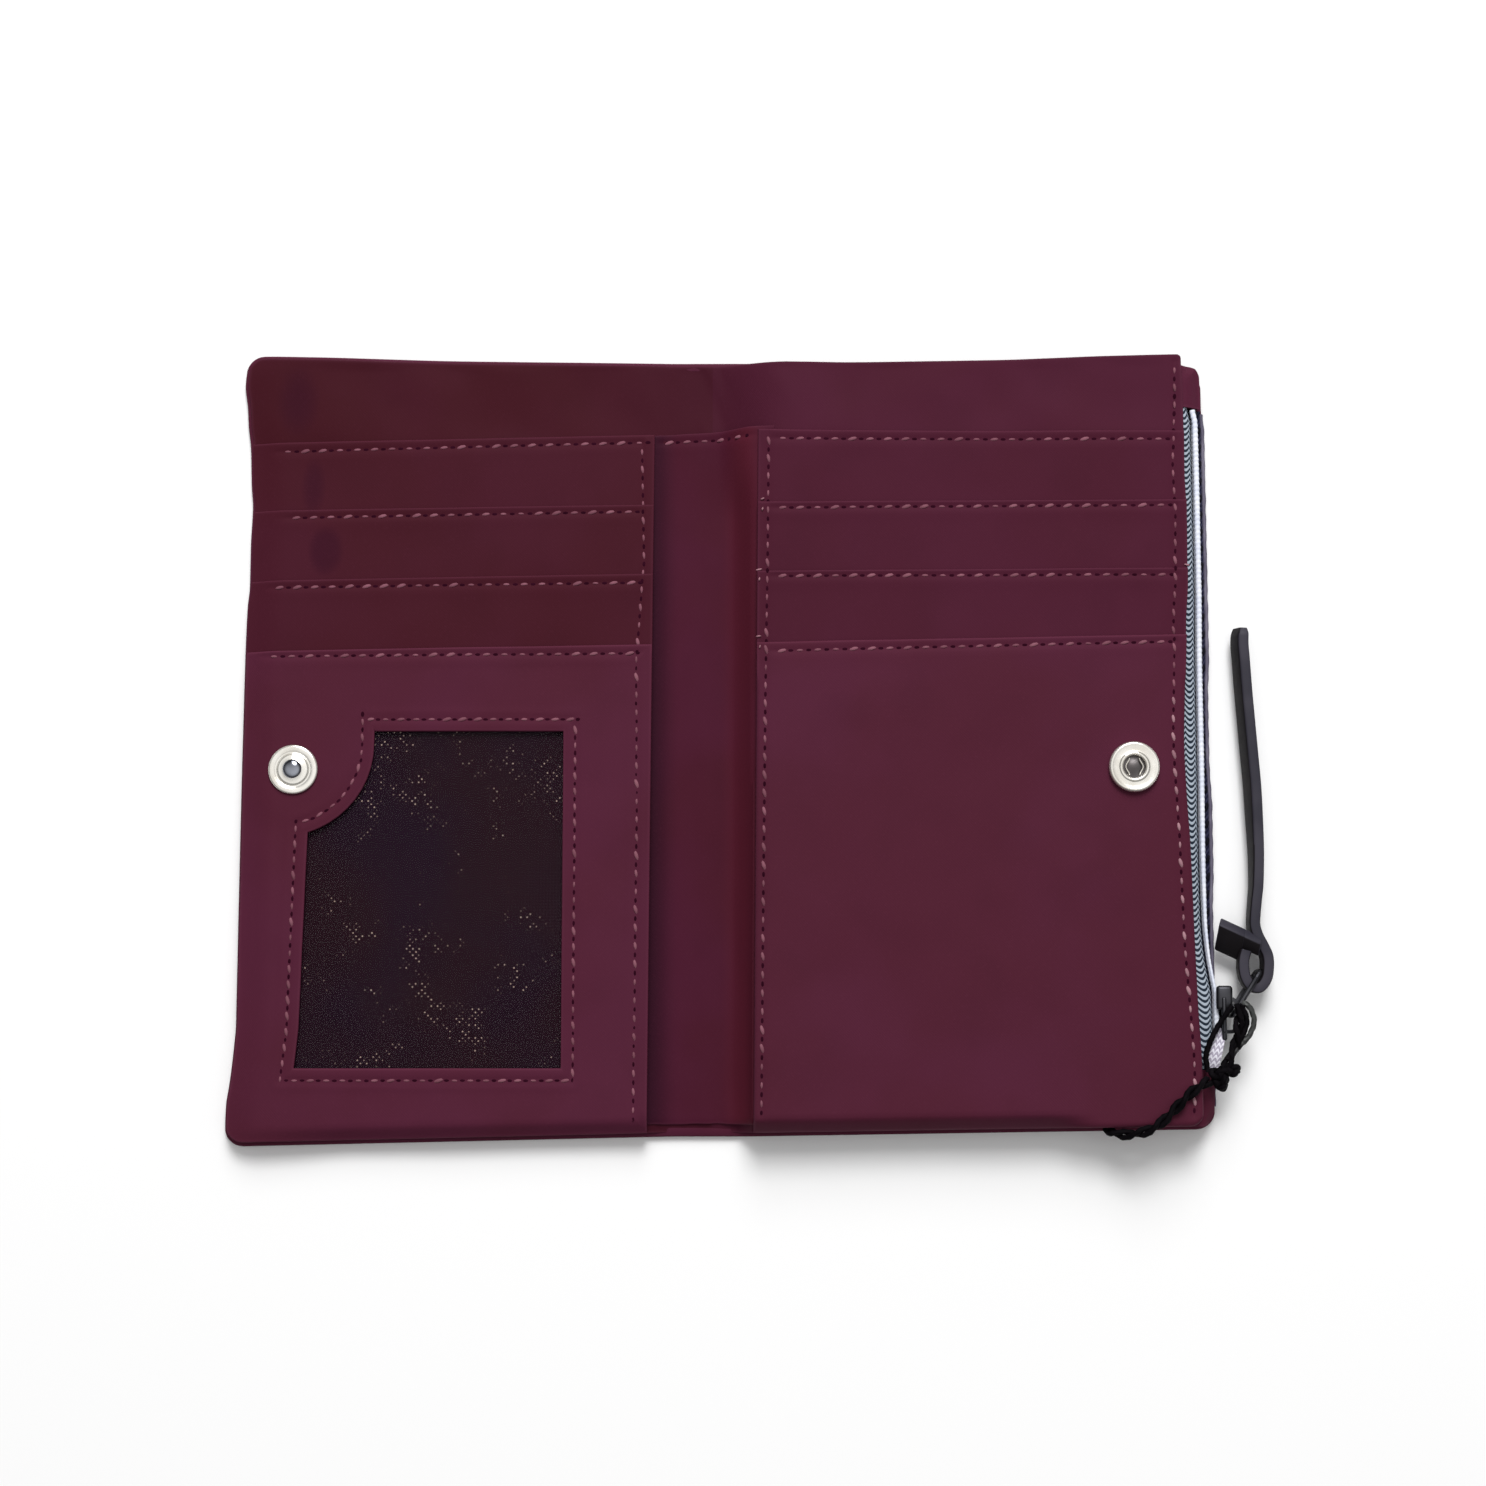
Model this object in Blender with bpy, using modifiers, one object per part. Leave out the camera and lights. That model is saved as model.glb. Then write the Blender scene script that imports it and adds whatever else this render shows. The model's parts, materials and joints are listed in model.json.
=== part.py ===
"""Bifold wallet lying open: card slots, identity window, snap, and a coin pocket with a side zip.

Right half: outer cover, coin pocket, bill divider and slot panel, the body that lies still.
Spine and left half fold up and over it about two lines that run along Y.
Metres, +Z up, +X to the right, +Y to the top edge, origin under the middle of the spine.
"""
import math

import bmesh
import bpy
from mathutils import Matrix, Vector

# Gap kept between pieces that touch on the real wallet
CLEARANCE = 0.0003
# How far a cutter runs past the face that it opens
OVERRUN = 0.002
# Points nearer than this are one point
WELD_DISTANCE = 0.000003

# Spine: height of the two crease lines above the table, and its length
FOLD_HEIGHT = 0.0015
SPINE_LENGTH = 0.1739

# Plan of the two halves, measured from the middle of the spine
LEFT_REACH = 0.1059
ZIP_OVERHANG = 0.0059
LEFT_TOP_FLARE = 0.0019
LEFT_BOTTOM_FLARE = 0.0032
RIGHT_TOP_FLARE = 0.0019
RIGHT_BOTTOM_DRAW = 0.0010
COVER_CORNER_RADIUS = 0.0045
PANEL_INSET = 0.0009
LEFT_PANEL_FOLD_MARGIN = 0.0049
RIGHT_PANEL_FOLD_MARGIN = 0.0013
PANEL_ZIP_MARGIN = 0.0066
PANEL_CORNER_RADIUS = 0.0020

# Sheet thicknesses
COVER_THICKNESS = 0.0012
STIFFENER_THICKNESS = 0.0005
STIFFENER_INSET = 0.0030
COVER_HEM_WIDTH = 0.0010
LINING_THICKNESS = 0.0004
DIVIDER_THICKNESS = 0.0005
BACKING_THICKNESS = 0.0006
STRIP_THICKNESS = 0.0005
PANEL_THICKNESS = 0.0007
SPINE_LINING_THICKNESS = 0.0006
SPINE_LINING_INSET = 0.0020
BILL_GAP = 0.0004
COIN_SPACE = 0.0043

# Card slots: drop of the first edge below the top, step from edge to edge, depth of a strip
SLOT_COUNT = 4
FIRST_SLOT_DROP = 0.01755
SLOT_STEP = 0.0160
STRIP_DEPTH = 0.0240
PANEL_HEM_WIDTH = 0.0012

# Identity window: margins to the left panel's edges, and the round cut-out beside the snap
WINDOW_TOP_MARGIN = 0.0196
WINDOW_BOTTOM_MARGIN = 0.01415
WINDOW_FOLD_MARGIN = 0.0197
WINDOW_SIDE_MARGIN_LOW = 0.0137
WINDOW_SIDE_MARGIN_HIGH = 0.0151
WINDOW_CORNER_RADIUS = 0.0008
CUTOUT_SHIFT_X = -0.0027
CUTOUT_SHIFT_Y = 0.0055
CUTOUT_RADIUS = 0.02045
FILM_MARGIN = 0.0025
FILM_THICKNESS = 0.0003
MESH_THICKNESS = 0.0003

# Snap: stud on the left half, socket on the right half, both as far from the spine
SNAP_SIDE_MARGIN = 0.0120
SNAP_DROP = 0.0282
STUD_RADIUS = 0.0055
STUD_FLANGE_THICKNESS = 0.0005
STUD_NECK_RADIUS = 0.0017
STUD_HEAD_RADIUS = 0.0021
STUD_HEAD_RISE = 0.00075
STUD_HEIGHT = 0.0022
STUD_STEP_RADIUS = 0.0034
STUD_STEP_RISE = 0.0002
SOCKET_RADIUS = 0.0056
SOCKET_HEIGHT = 0.0014
SNAP_CLEARANCE = 0.0004
SOCKET_EDGE_ROUND = 0.0006
POST_RADIUS = 0.0013
POST_RECESS = 0.0002
CAP_RADIUS = 0.0050
CAP_THICKNESS = 0.0005

# Zip along the right edge
ZIP_BOTTOM_MARGIN = 0.01385
ZIP_TOP_MARGIN = 0.01125
TAPE_THICKNESS = 0.0003
TAPE_DROP = 0.0003
TAPE_UNDERLAP = 0.0040
TAPE_STANDING_INSET = 0.00395
UPPER_TAPE_BEND = 0.0012
LOWER_TAPE_BEND = 0.0016
LOWER_TAPE_INSET = 0.0002
COIL_RADIUS = 0.0007
COIL_GAP = 0.00085
STOP_LENGTH = 0.0024
STOP_DEPTH = 0.0016

# Gusset walls and corner sheets that close the coin pocket past the zip
GUSSET_THICKNESS = 0.0008
GUSSET_INSET = 0.0022
CORNER_RADIUS = 0.0040
CORNER_SHEET_INSET = 0.0011
CORNER_SHEET_UNDERLAP = 0.0100

# Zip slider, at its closed place near the lower end
SLIDER_REST_RISE = 0.0119
SLIDER_LENGTH = 0.0115
SLIDER_PLATE = 0.0011
SLIDER_TABLE_GAP = 0.0004
SLIDER_REAR_SHARE = 0.78
SLIDER_CORNER_SHARE = 0.33
SLIDER_FLANGE_TAPE_GAP = 0.0004
SLIDER_FLANGE_COIL_GAP = 0.0002
SLIDER_FLANGE_THICKNESS = 0.0010
INNER_PLATE_THICKNESS = 0.0010
INNER_PLATE_HALF_HEIGHT = 0.0014
INNER_PLATE_GAP = 0.0004
WEB_THICKNESS = 0.00025
WEB_LENGTH = 0.0035
CROWN_LENGTH = 0.0080
CROWN_RISE = 0.0030
CROWN_WIDTH = 0.0018
CROWN_THICKNESS = 0.0008
CROWN_OUTER_ROUND = 0.0016

# Pull ring between crown and strap
RING_WIRE_RADIUS = 0.00055
RING_TABLE_GAP = 0.0004
RING_STRAP_GAP = 0.00045
RING_CROWN_PLAY = 0.00015
RING_CORNER_RADIUS = 0.0018
RING_REACH_X = 0.0062
RING_REACH_Y = 0.0097

# Leather strap on the pull ring, standing on its edge
STRAP_THICKNESS = 0.0023
STRAP_WIDTH = 0.0046
STRAP_TIP_DROP = 0.0015
STRAP_LOOP_HALF_WIDTH = 0.0027
STRAP_LOOP_HALF_LENGTH = 0.0051
STRAP_LOOP_SHIFT_X = -0.00065
STRAP_LOOP_SHIFT_Y = 0.0015
STRAP_TIP_REACH_X = -0.00065
STRAP_TIP_REACH_Y = 0.0757
STRAP_BOW = 0.0017
STRAP_END_REACH_X = -0.00625
STRAP_END_REACH_Y = 0.0090

# Black doubled cord from the bottom seam to its knot at the lower end of the zip
STRAND_RADIUS = 0.0005
STRAND_SPACING = 0.0013
STRAND_TWIST_PITCH = 0.0090
STRAND_POINTS = 60
CORD_ROUTE = (
    (0.0866, -0.0857, 0.0080),
    (0.0867, -0.0866, 0.0081),
    (0.0871, -0.0873, 0.0088),
    (0.0877, -0.0876, 0.0101),
    (0.0886, -0.0874, 0.0114),
    (0.0900, -0.0867, 0.01225),
    (0.0922, -0.0854, 0.01245),
    (0.0952, -0.0838, 0.01245),
    (0.0986, -0.0819, 0.01245),
    (0.1018, -0.0797, 0.01245),
    (0.1045, -0.0776, 0.01235),
    (0.1067, -0.0764, 0.0116),
    (0.1086, -0.0755, 0.0103),
)
KNOT_RADIUS = 0.0017
KNOT_SPREAD = 0.0019

# Steps of the round shapes
ARC_STEPS = 5
TURN_STEPS = 32
KNOT_STEPS = 12

CUTTERS = "cutters"
MODEL = "wallet"


def stacked(start, *thicknesses):
    """Low and high of sheets that lie on each other from a start height."""
    levels = []
    low = start
    for thickness in thicknesses:
        levels.append((low, low + thickness))
        low += thickness + CLEARANCE
    return levels


# Heights of the layers, from the table up
COVER_TOP = COVER_THICKNESS
INNER_START = COVER_TOP + CLEARANCE
STIFFENER_LEVEL, LINING_LEVEL = stacked(INNER_START, STIFFENER_THICKNESS, LINING_THICKNESS)
LEFT_LEVELS = stacked(LINING_LEVEL[1] + BILL_GAP, BACKING_THICKNESS, STRIP_THICKNESS,
                      STRIP_THICKNESS, PANEL_THICKNESS)
DIVIDER_LEVEL = (LINING_LEVEL[1] + COIN_SPACE, LINING_LEVEL[1] + COIN_SPACE + DIVIDER_THICKNESS)
RIGHT_LEVELS = stacked(DIVIDER_LEVEL[1] + BILL_GAP, BACKING_THICKNESS, STRIP_THICKNESS,
                       STRIP_THICKNESS, PANEL_THICKNESS)
SPINE_LINING_LEVEL = (INNER_START + CLEARANCE / 2,
                      INNER_START + CLEARANCE / 2 + SPINE_LINING_THICKNESS)

# The spine is as wide as the folded halves and the closed snap between them are thick
SNAP_STACK = CLEARANCE + SOCKET_HEIGHT + CLEARANCE + STUD_FLANGE_THICKNESS + CLEARANCE
SPINE_WIDTH = RIGHT_LEVELS[-1][1] + LEFT_LEVELS[-1][1] + SNAP_STACK - 2 * FOLD_HEIGHT
FOLD_X = SPINE_WIDTH / 2
HALF_LENGTH = SPINE_LENGTH / 2

# Places in plan that follow the reach of the halves and the length of the spine
RIGHT_REACH = LEFT_REACH + ZIP_OVERHANG
LEFT_PANEL_START = FOLD_X + LEFT_PANEL_FOLD_MARGIN
LEFT_PANEL_END = LEFT_REACH - PANEL_INSET
RIGHT_PANEL_START = FOLD_X + RIGHT_PANEL_FOLD_MARGIN
RIGHT_PANEL_END = RIGHT_REACH - PANEL_ZIP_MARGIN
FIRST_SLOT_EDGE = HALF_LENGTH - FIRST_SLOT_DROP
SLOT_EDGES = [FIRST_SLOT_EDGE - SLOT_STEP * row for row in range(SLOT_COUNT)]
SNAP_X = RIGHT_PANEL_END - SNAP_SIDE_MARGIN
SNAP_Y = SLOT_EDGES[-1] - SNAP_DROP
WINDOW_TOP = SLOT_EDGES[-1] - WINDOW_TOP_MARGIN
WINDOW_BOTTOM = -HALF_LENGTH + WINDOW_BOTTOM_MARGIN
WINDOW_RIGHT = -LEFT_PANEL_START - WINDOW_FOLD_MARGIN
WINDOW_LEFT_LOW = -LEFT_PANEL_END + WINDOW_SIDE_MARGIN_LOW
WINDOW_LEFT_HIGH = -LEFT_PANEL_END + WINDOW_SIDE_MARGIN_HIGH
CUTOUT_CENTRE_X = -SNAP_X + CUTOUT_SHIFT_X
CUTOUT_CENTRE_Y = SNAP_Y + CUTOUT_SHIFT_Y
SOCKET_BORE_RADIUS = STUD_HEAD_RADIUS + SNAP_CLEARANCE
POST_HOLE_RADIUS = POST_RADIUS + CLEARANCE

# The zip's chain hangs between its two tapes, and the slider reaches down to the table
ZIP_BOTTOM = -HALF_LENGTH + ZIP_BOTTOM_MARGIN
ZIP_TOP = HALF_LENGTH - ZIP_TOP_MARGIN
TAPE_STANDING_X = RIGHT_REACH - TAPE_STANDING_INSET
TAPE_CENTRE_Z = DIVIDER_LEVEL[0] - TAPE_DROP - TAPE_THICKNESS / 2
LOWER_TAPE_Z = INNER_START + TAPE_THICKNESS / 2
CHAIN_Z = (TAPE_CENTRE_Z - UPPER_TAPE_BEND + LOWER_TAPE_Z + LOWER_TAPE_BEND) / 2
COIL_X = TAPE_STANDING_X + TAPE_THICKNESS / 2 + CLEARANCE + COIL_RADIUS
UPPER_COIL_Z = CHAIN_Z + COIL_GAP / 2 + COIL_RADIUS
LOWER_COIL_Z = CHAIN_Z - COIL_GAP / 2 - COIL_RADIUS
SLIDER_Y = ZIP_BOTTOM + SLIDER_REST_RISE
SLIDER_HALF_HEIGHT = CHAIN_Z - SLIDER_TABLE_GAP
SLIDER_PLATE_X = RIGHT_REACH + CLEARANCE
CROWN_X = SLIDER_PLATE_X + SLIDER_PLATE

# The ring's near bar lies in the crown and its far bar in the strap's loop
RING_LOW = RING_TABLE_GAP + RING_WIRE_RADIUS
RING_HEIGHT = STRAP_WIDTH + 2 * (RING_WIRE_RADIUS + RING_STRAP_GAP)
RING_NEAR_X = CROWN_X + CROWN_RISE - CROWN_THICKNESS - RING_WIRE_RADIUS - RING_CROWN_PLAY
RING_FAR_X = RING_NEAR_X + RING_REACH_X
RING_FAR_Y = SLIDER_Y + RING_REACH_Y
STRAP_LOW = RING_LOW + RING_WIRE_RADIUS + RING_STRAP_GAP
STRAP_HEIGHT_MIDDLE = STRAP_LOW + STRAP_WIDTH / 2
STRAP_LOOP_CENTRE_X = RING_FAR_X + STRAP_LOOP_SHIFT_X
STRAP_LOOP_CENTRE_Y = RING_FAR_Y + STRAP_LOOP_SHIFT_Y
STRAP_TIP_X = STRAP_LOOP_CENTRE_X + STRAP_TIP_REACH_X
STRAP_TIP_Y = STRAP_LOOP_CENTRE_Y + STRAP_TIP_REACH_Y
STRAP_END_X = STRAP_LOOP_CENTRE_X + STRAP_END_REACH_X
STRAP_END_Y = STRAP_LOOP_CENTRE_Y + STRAP_END_REACH_Y

# Pivots of the moving bodies in the room, each with its parent body
PIVOTS = {
    "spine": ((FOLD_X, 0, FOLD_HEIGHT), None),
    "cover_half": ((-FOLD_X, 0, FOLD_HEIGHT), "spine"),
    "slider": ((COIL_X, SLIDER_Y, CHAIN_Z), None),
    "ring": ((RING_NEAR_X, SLIDER_Y, RING_LOW + RING_HEIGHT / 2), "slider"),
    "strap": ((RING_FAR_X, RING_FAR_Y, STRAP_HEIGHT_MIDDLE), "ring"),
}


def clear_scene():
    """Remove every object and start the two collections."""
    for scene_object in list(bpy.data.objects):
        bpy.data.objects.remove(scene_object, do_unlink=True)
    for name in (MODEL, CUTTERS):
        collection = bpy.data.collections.new(name)
        bpy.context.scene.collection.children.link(collection)


def material(name, color, roughness, metallic=0.0):
    """One Principled material."""
    made = bpy.data.materials.new(name)
    made.use_nodes = True
    shader = made.node_tree.nodes["Principled BSDF"]
    shader.inputs["Base Color"].default_value = (*color, 1.0)
    shader.inputs["Roughness"].default_value = roughness
    shader.inputs["Metallic"].default_value = metallic
    return made


def add_pivots():
    """Empties on the joint axes, parented as the bodies are."""
    pivots = {}
    for name, (place, parent) in PIVOTS.items():
        pivot = bpy.data.objects.new(name + "_pivot", None)
        bpy.data.collections[MODEL].objects.link(pivot)
        pivot.location = place
        if parent:
            pivot.parent = pivots[parent]
            pivot.location = Vector(place) - Vector(PIVOTS[parent][0])
        pivots[name] = pivot
    return pivots


def carry(piece, body, finish):
    """Give a piece its material and hang it on its body's pivot."""
    if finish:
        piece.data.materials.append(finish)
    if body:
        piece.parent = bpy.data.objects[body + "_pivot"]
        piece.location = piece.location - Vector(PIVOTS[body][0])
    return piece


def link(name, data, collection=MODEL):
    """New object in a collection; cutters are drawn as wires and never rendered."""
    made = bpy.data.objects.new(name, data)
    bpy.data.collections[collection].objects.link(made)
    if collection == CUTTERS:
        made.hide_render = True
        made.display_type = "WIRE"
    return made


def rounded(corners, radii):
    """Outline through corners, each rounded by its own radius."""
    outline = []
    count = len(corners)
    for index, corner in enumerate(corners):
        here = Vector(corner)
        back = (Vector(corners[index - 1]) - here).normalized()
        ahead = (Vector(corners[(index + 1) % count]) - here).normalized()
        radius = radii[index]
        if radius == 0:
            outline.append(here)
            continue
        half_angle = back.angle(ahead) / 2
        start = here + back * radius / math.tan(half_angle)
        end = here + ahead * radius / math.tan(half_angle)
        centre = here + (back + ahead).normalized() * radius / math.sin(half_angle)
        sweep = math.pi - 2 * half_angle
        turn = sweep if (start - centre).cross(end - centre) > 0 else -sweep
        for step in range(ARC_STEPS + 1):
            spoke = start - centre
            spoke.rotate(Matrix.Rotation(turn * step / ARC_STEPS, 2))
            outline.append(centre + spoke)
    return outline


def circle(x, y, radius):
    """Round outline about a point."""
    turns = [math.tau * step / TURN_STEPS for step in range(TURN_STEPS)]
    return [Vector((x + radius * math.cos(turn), y + radius * math.sin(turn))) for turn in turns]


def ribbon(path, thickness):
    """Outline of a strip of even thickness along a path."""
    left = []
    right = []
    for index, here in enumerate(path):
        before = path[max(index - 1, 0)]
        after = path[min(index + 1, len(path) - 1)]
        along = (after - before).normalized()
        across = Vector((-along.y, along.x)) * thickness / 2
        left.append(here + across)
        right.append(here - across)
    return left + right[::-1]


def arc(centre, radius, start, end):
    """Points on an arc between two angles."""
    angles = [start + (end - start) * step / ARC_STEPS for step in range(ARC_STEPS + 1)]
    return [centre + Vector((math.cos(a), math.sin(a))) * radius for a in angles]


def plate(name, outlines, low, high, collection=MODEL):
    """Flat solid between two heights; outlines after the first are holes."""
    curve = bpy.data.curves.new(name, "CURVE")
    curve.dimensions = "2D"
    curve.fill_mode = "BOTH"
    curve.extrude = (high - low) / 2
    for outline in outlines:
        spline = curve.splines.new("POLY")
        spline.points.add(len(outline) - 1)
        for point, place in zip(spline.points, outline):
            point.co = (place.x, place.y, 0, 1)
        spline.use_cyclic_u = True
    made = link(name, curve, collection)
    made.location = (0, 0, (low + high) / 2)
    return made


def as_mesh(piece):
    """Turn a curve object into a welded mesh object of the same name and place."""
    bpy.context.view_layer.update()
    evaluated = piece.evaluated_get(bpy.context.evaluated_depsgraph_get())
    mesh = bpy.data.meshes.new_from_object(evaluated)
    welded = bmesh.new()
    welded.from_mesh(mesh)
    bmesh.ops.remove_doubles(welded, verts=welded.verts, dist=WELD_DISTANCE)
    welded.to_mesh(mesh)
    welded.free()
    name = piece.name
    collection = piece.users_collection[0].name
    matrix = piece.matrix_world.copy()
    bpy.data.objects.remove(piece, do_unlink=True)
    made = link(name, mesh, collection)
    made.matrix_world = matrix
    return made


def combine(piece, other, operation):
    """Exact Boolean of a mesh piece with a hidden cutter."""
    boolean = piece.modifiers.new(operation.title(), "BOOLEAN")
    boolean.operation = operation
    boolean.solver = "EXACT"
    boolean.object = other
    return piece


def cutter(name, outlines, low, high):
    """Mesh cutter between two heights."""
    return as_mesh(plate(name, outlines, low, high, CUTTERS))


def block(name, low, high, collection=MODEL):
    """Box between two corners, its origin in its middle."""
    mesh = bpy.data.meshes.new(name)
    shape = bmesh.new()
    bmesh.ops.create_cube(shape, size=1)
    size = Vector(high) - Vector(low)
    bmesh.ops.scale(shape, vec=size, verts=shape.verts)
    shape.to_mesh(mesh)
    shape.free()
    made = link(name, mesh, collection)
    made.location = (Vector(low) + Vector(high)) / 2
    return made


def tube(name, points, radius, cyclic=False):
    """Round bar along points, with filled ends."""
    curve = bpy.data.curves.new(name, "CURVE")
    curve.dimensions = "3D"
    curve.bevel_depth = radius
    curve.bevel_resolution = 2
    curve.use_fill_caps = True
    spline = curve.splines.new("POLY")
    spline.points.add(len(points) - 1)
    for point, place in zip(spline.points, points):
        point.co = (*place, 1)
    spline.use_cyclic_u = cyclic
    return link(name, curve)


def turned(name, profile, place):
    """Turned solid from a profile that runs from the top to the bottom of its outer side."""
    mesh = bpy.data.meshes.new(name)
    shape = bmesh.new()
    ring = [shape.verts.new((radius, 0, height)) for radius, height in profile]
    for first, second in zip(ring, ring[1:]):
        shape.edges.new((first, second))
    shape.to_mesh(mesh)
    shape.free()
    made = link(name, mesh)
    made.location = place
    screw = made.modifiers.new("Turn", "SCREW")
    screw.steps = TURN_STEPS
    screw.render_steps = TURN_STEPS
    screw.use_merge_vertices = True
    screw.merge_threshold = WELD_DISTANCE
    screw.use_smooth_shade = True
    return made


def top_at(x):
    """Height in Y of the wallet's top edge at a place along X."""
    if x < -FOLD_X:
        return HALF_LENGTH + LEFT_TOP_FLARE * (-x - FOLD_X) / (LEFT_REACH - FOLD_X)
    if x > FOLD_X:
        return HALF_LENGTH + RIGHT_TOP_FLARE * (x - FOLD_X) / (RIGHT_REACH - FOLD_X)
    return HALF_LENGTH


def bottom_at(x):
    """Height in Y of the wallet's bottom edge at a place along X."""
    if x < -FOLD_X:
        return -HALF_LENGTH - LEFT_BOTTOM_FLARE * (-x - FOLD_X) / (LEFT_REACH - FOLD_X)
    if x > FOLD_X:
        return -HALF_LENGTH + RIGHT_BOTTOM_DRAW * (x - FOLD_X) / (RIGHT_REACH - FOLD_X)
    return -HALF_LENGTH


def field(inner, outer, inset, radius, top=None):
    """Outline of a sheet between two places along X, up to a slot edge or the top edge."""
    tops = (top, top) if top is not None else (top_at(inner) - inset, top_at(outer) - inset)
    corners = [
        (inner, bottom_at(inner) + inset),
        (outer, bottom_at(outer) + inset),
        (outer, tops[1]),
        (inner, tops[0]),
    ]
    upper_radius = radius if top is None else 0
    return rounded(corners, [0, radius, upper_radius, 0])


def cover(name, inner, outer, hem_outer, finish, body=None):
    """Outer cover of one half: a sheet whose edges are turned in as a hem."""
    outline = field(inner, outer, 0, COVER_CORNER_RADIUS)
    skin = as_mesh(plate(name, [outline], 0, STIFFENER_LEVEL[1]))
    side = math.copysign(1, outer)
    reach = outer - side * COVER_HEM_WIDTH if hem_outer else outer + side * OVERRUN
    start = inner - side * OVERRUN
    hollow_radius = COVER_CORNER_RADIUS - COVER_HEM_WIDTH
    corners = [
        (start, bottom_at(inner) + COVER_HEM_WIDTH),
        (reach, bottom_at(outer) + COVER_HEM_WIDTH),
        (reach, top_at(outer) - COVER_HEM_WIDTH),
        (start, top_at(inner) - COVER_HEM_WIDTH),
    ]
    rounding = hollow_radius if hem_outer else 0
    hollow = rounded(corners, [0, rounding, rounding, 0])
    tool = cutter(name + "_hollow", [hollow], COVER_TOP, STIFFENER_LEVEL[1] + OVERRUN)
    combine(skin, tool, "DIFFERENCE")
    carry(tool, body, None)
    return carry(skin, body, finish)


def slot_strip(name, inner, outer, row, level, finish, body=None):
    """Card slot strip: a band below one slot edge."""
    top = SLOT_EDGES[row]
    corners = [(inner, top - STRIP_DEPTH), (outer, top - STRIP_DEPTH), (outer, top), (inner, top)]
    strip = plate(name, [rounded(corners, [0, 0, 0, 0])], *level)
    return carry(strip, body, finish)


def front_panel(name, inner, outer, levels, openings, finish, body=None):
    """Lowest panel of a half: its edges turn down as a hem, its top edge is a slot."""
    under, level = levels[0], levels[-1]
    outline = field(inner, outer, PANEL_INSET, PANEL_CORNER_RADIUS, SLOT_EDGES[-1])
    panel = as_mesh(plate(name, [outline], under[1] + CLEARANCE, level[1]))
    side = math.copysign(1, outer)
    narrow_inner = inner + side * PANEL_HEM_WIDTH
    narrow_outer = outer - side * PANEL_HEM_WIDTH
    shoulder = SLOT_EDGES[-2] - STRIP_DEPTH - CLEARANCE
    top = SLOT_EDGES[-1] + OVERRUN
    between_hems = rounded([
        (narrow_inner, bottom_at(inner) + PANEL_INSET + PANEL_HEM_WIDTH),
        (narrow_outer, bottom_at(outer) + PANEL_INSET + PANEL_HEM_WIDTH),
        (narrow_outer, top),
        (narrow_inner, top),
    ], [0, 0, 0, 0])
    above_shoulder = rounded([
        (inner - side * OVERRUN, shoulder),
        (outer + side * OVERRUN, shoulder),
        (outer + side * OVERRUN, top),
        (inner - side * OVERRUN, top),
    ], [0, 0, 0, 0])
    low = under[1] + CLEARANCE - OVERRUN
    tools = [
        cutter(name + "_hollow", [between_hems], low, level[0]),
        cutter(name + "_shoulder", [above_shoulder], low, level[0]),
    ]
    for index, opening in enumerate(openings):
        tools.append(cutter(f"{name}_opening_{index}", [opening], under[1], level[1] + OVERRUN))
    for tool in tools:
        combine(panel, tool, "DIFFERENCE")
        carry(tool, body, None)
    return carry(panel, body, finish)


def window_outline(margin):
    """Identity window with its round cut-out by the snap, grown by a margin."""
    centre = Vector((CUTOUT_CENTRE_X, CUTOUT_CENTRE_Y))
    radius = CUTOUT_RADIUS - margin
    left_high = WINDOW_LEFT_HIGH - margin
    start = -math.acos((left_high - centre.x) / radius)
    cutout = arc(centre, radius, start, 0)
    corners = rounded([
        (cutout[-1].x, WINDOW_TOP + margin),
        (WINDOW_RIGHT + margin, WINDOW_TOP + margin),
        (WINDOW_RIGHT + margin, WINDOW_BOTTOM - margin),
        (WINDOW_LEFT_LOW - margin, WINDOW_BOTTOM - margin),
    ], [0, WINDOW_CORNER_RADIUS, WINDOW_CORNER_RADIUS, WINDOW_CORNER_RADIUS])
    return corners + cutout


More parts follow.
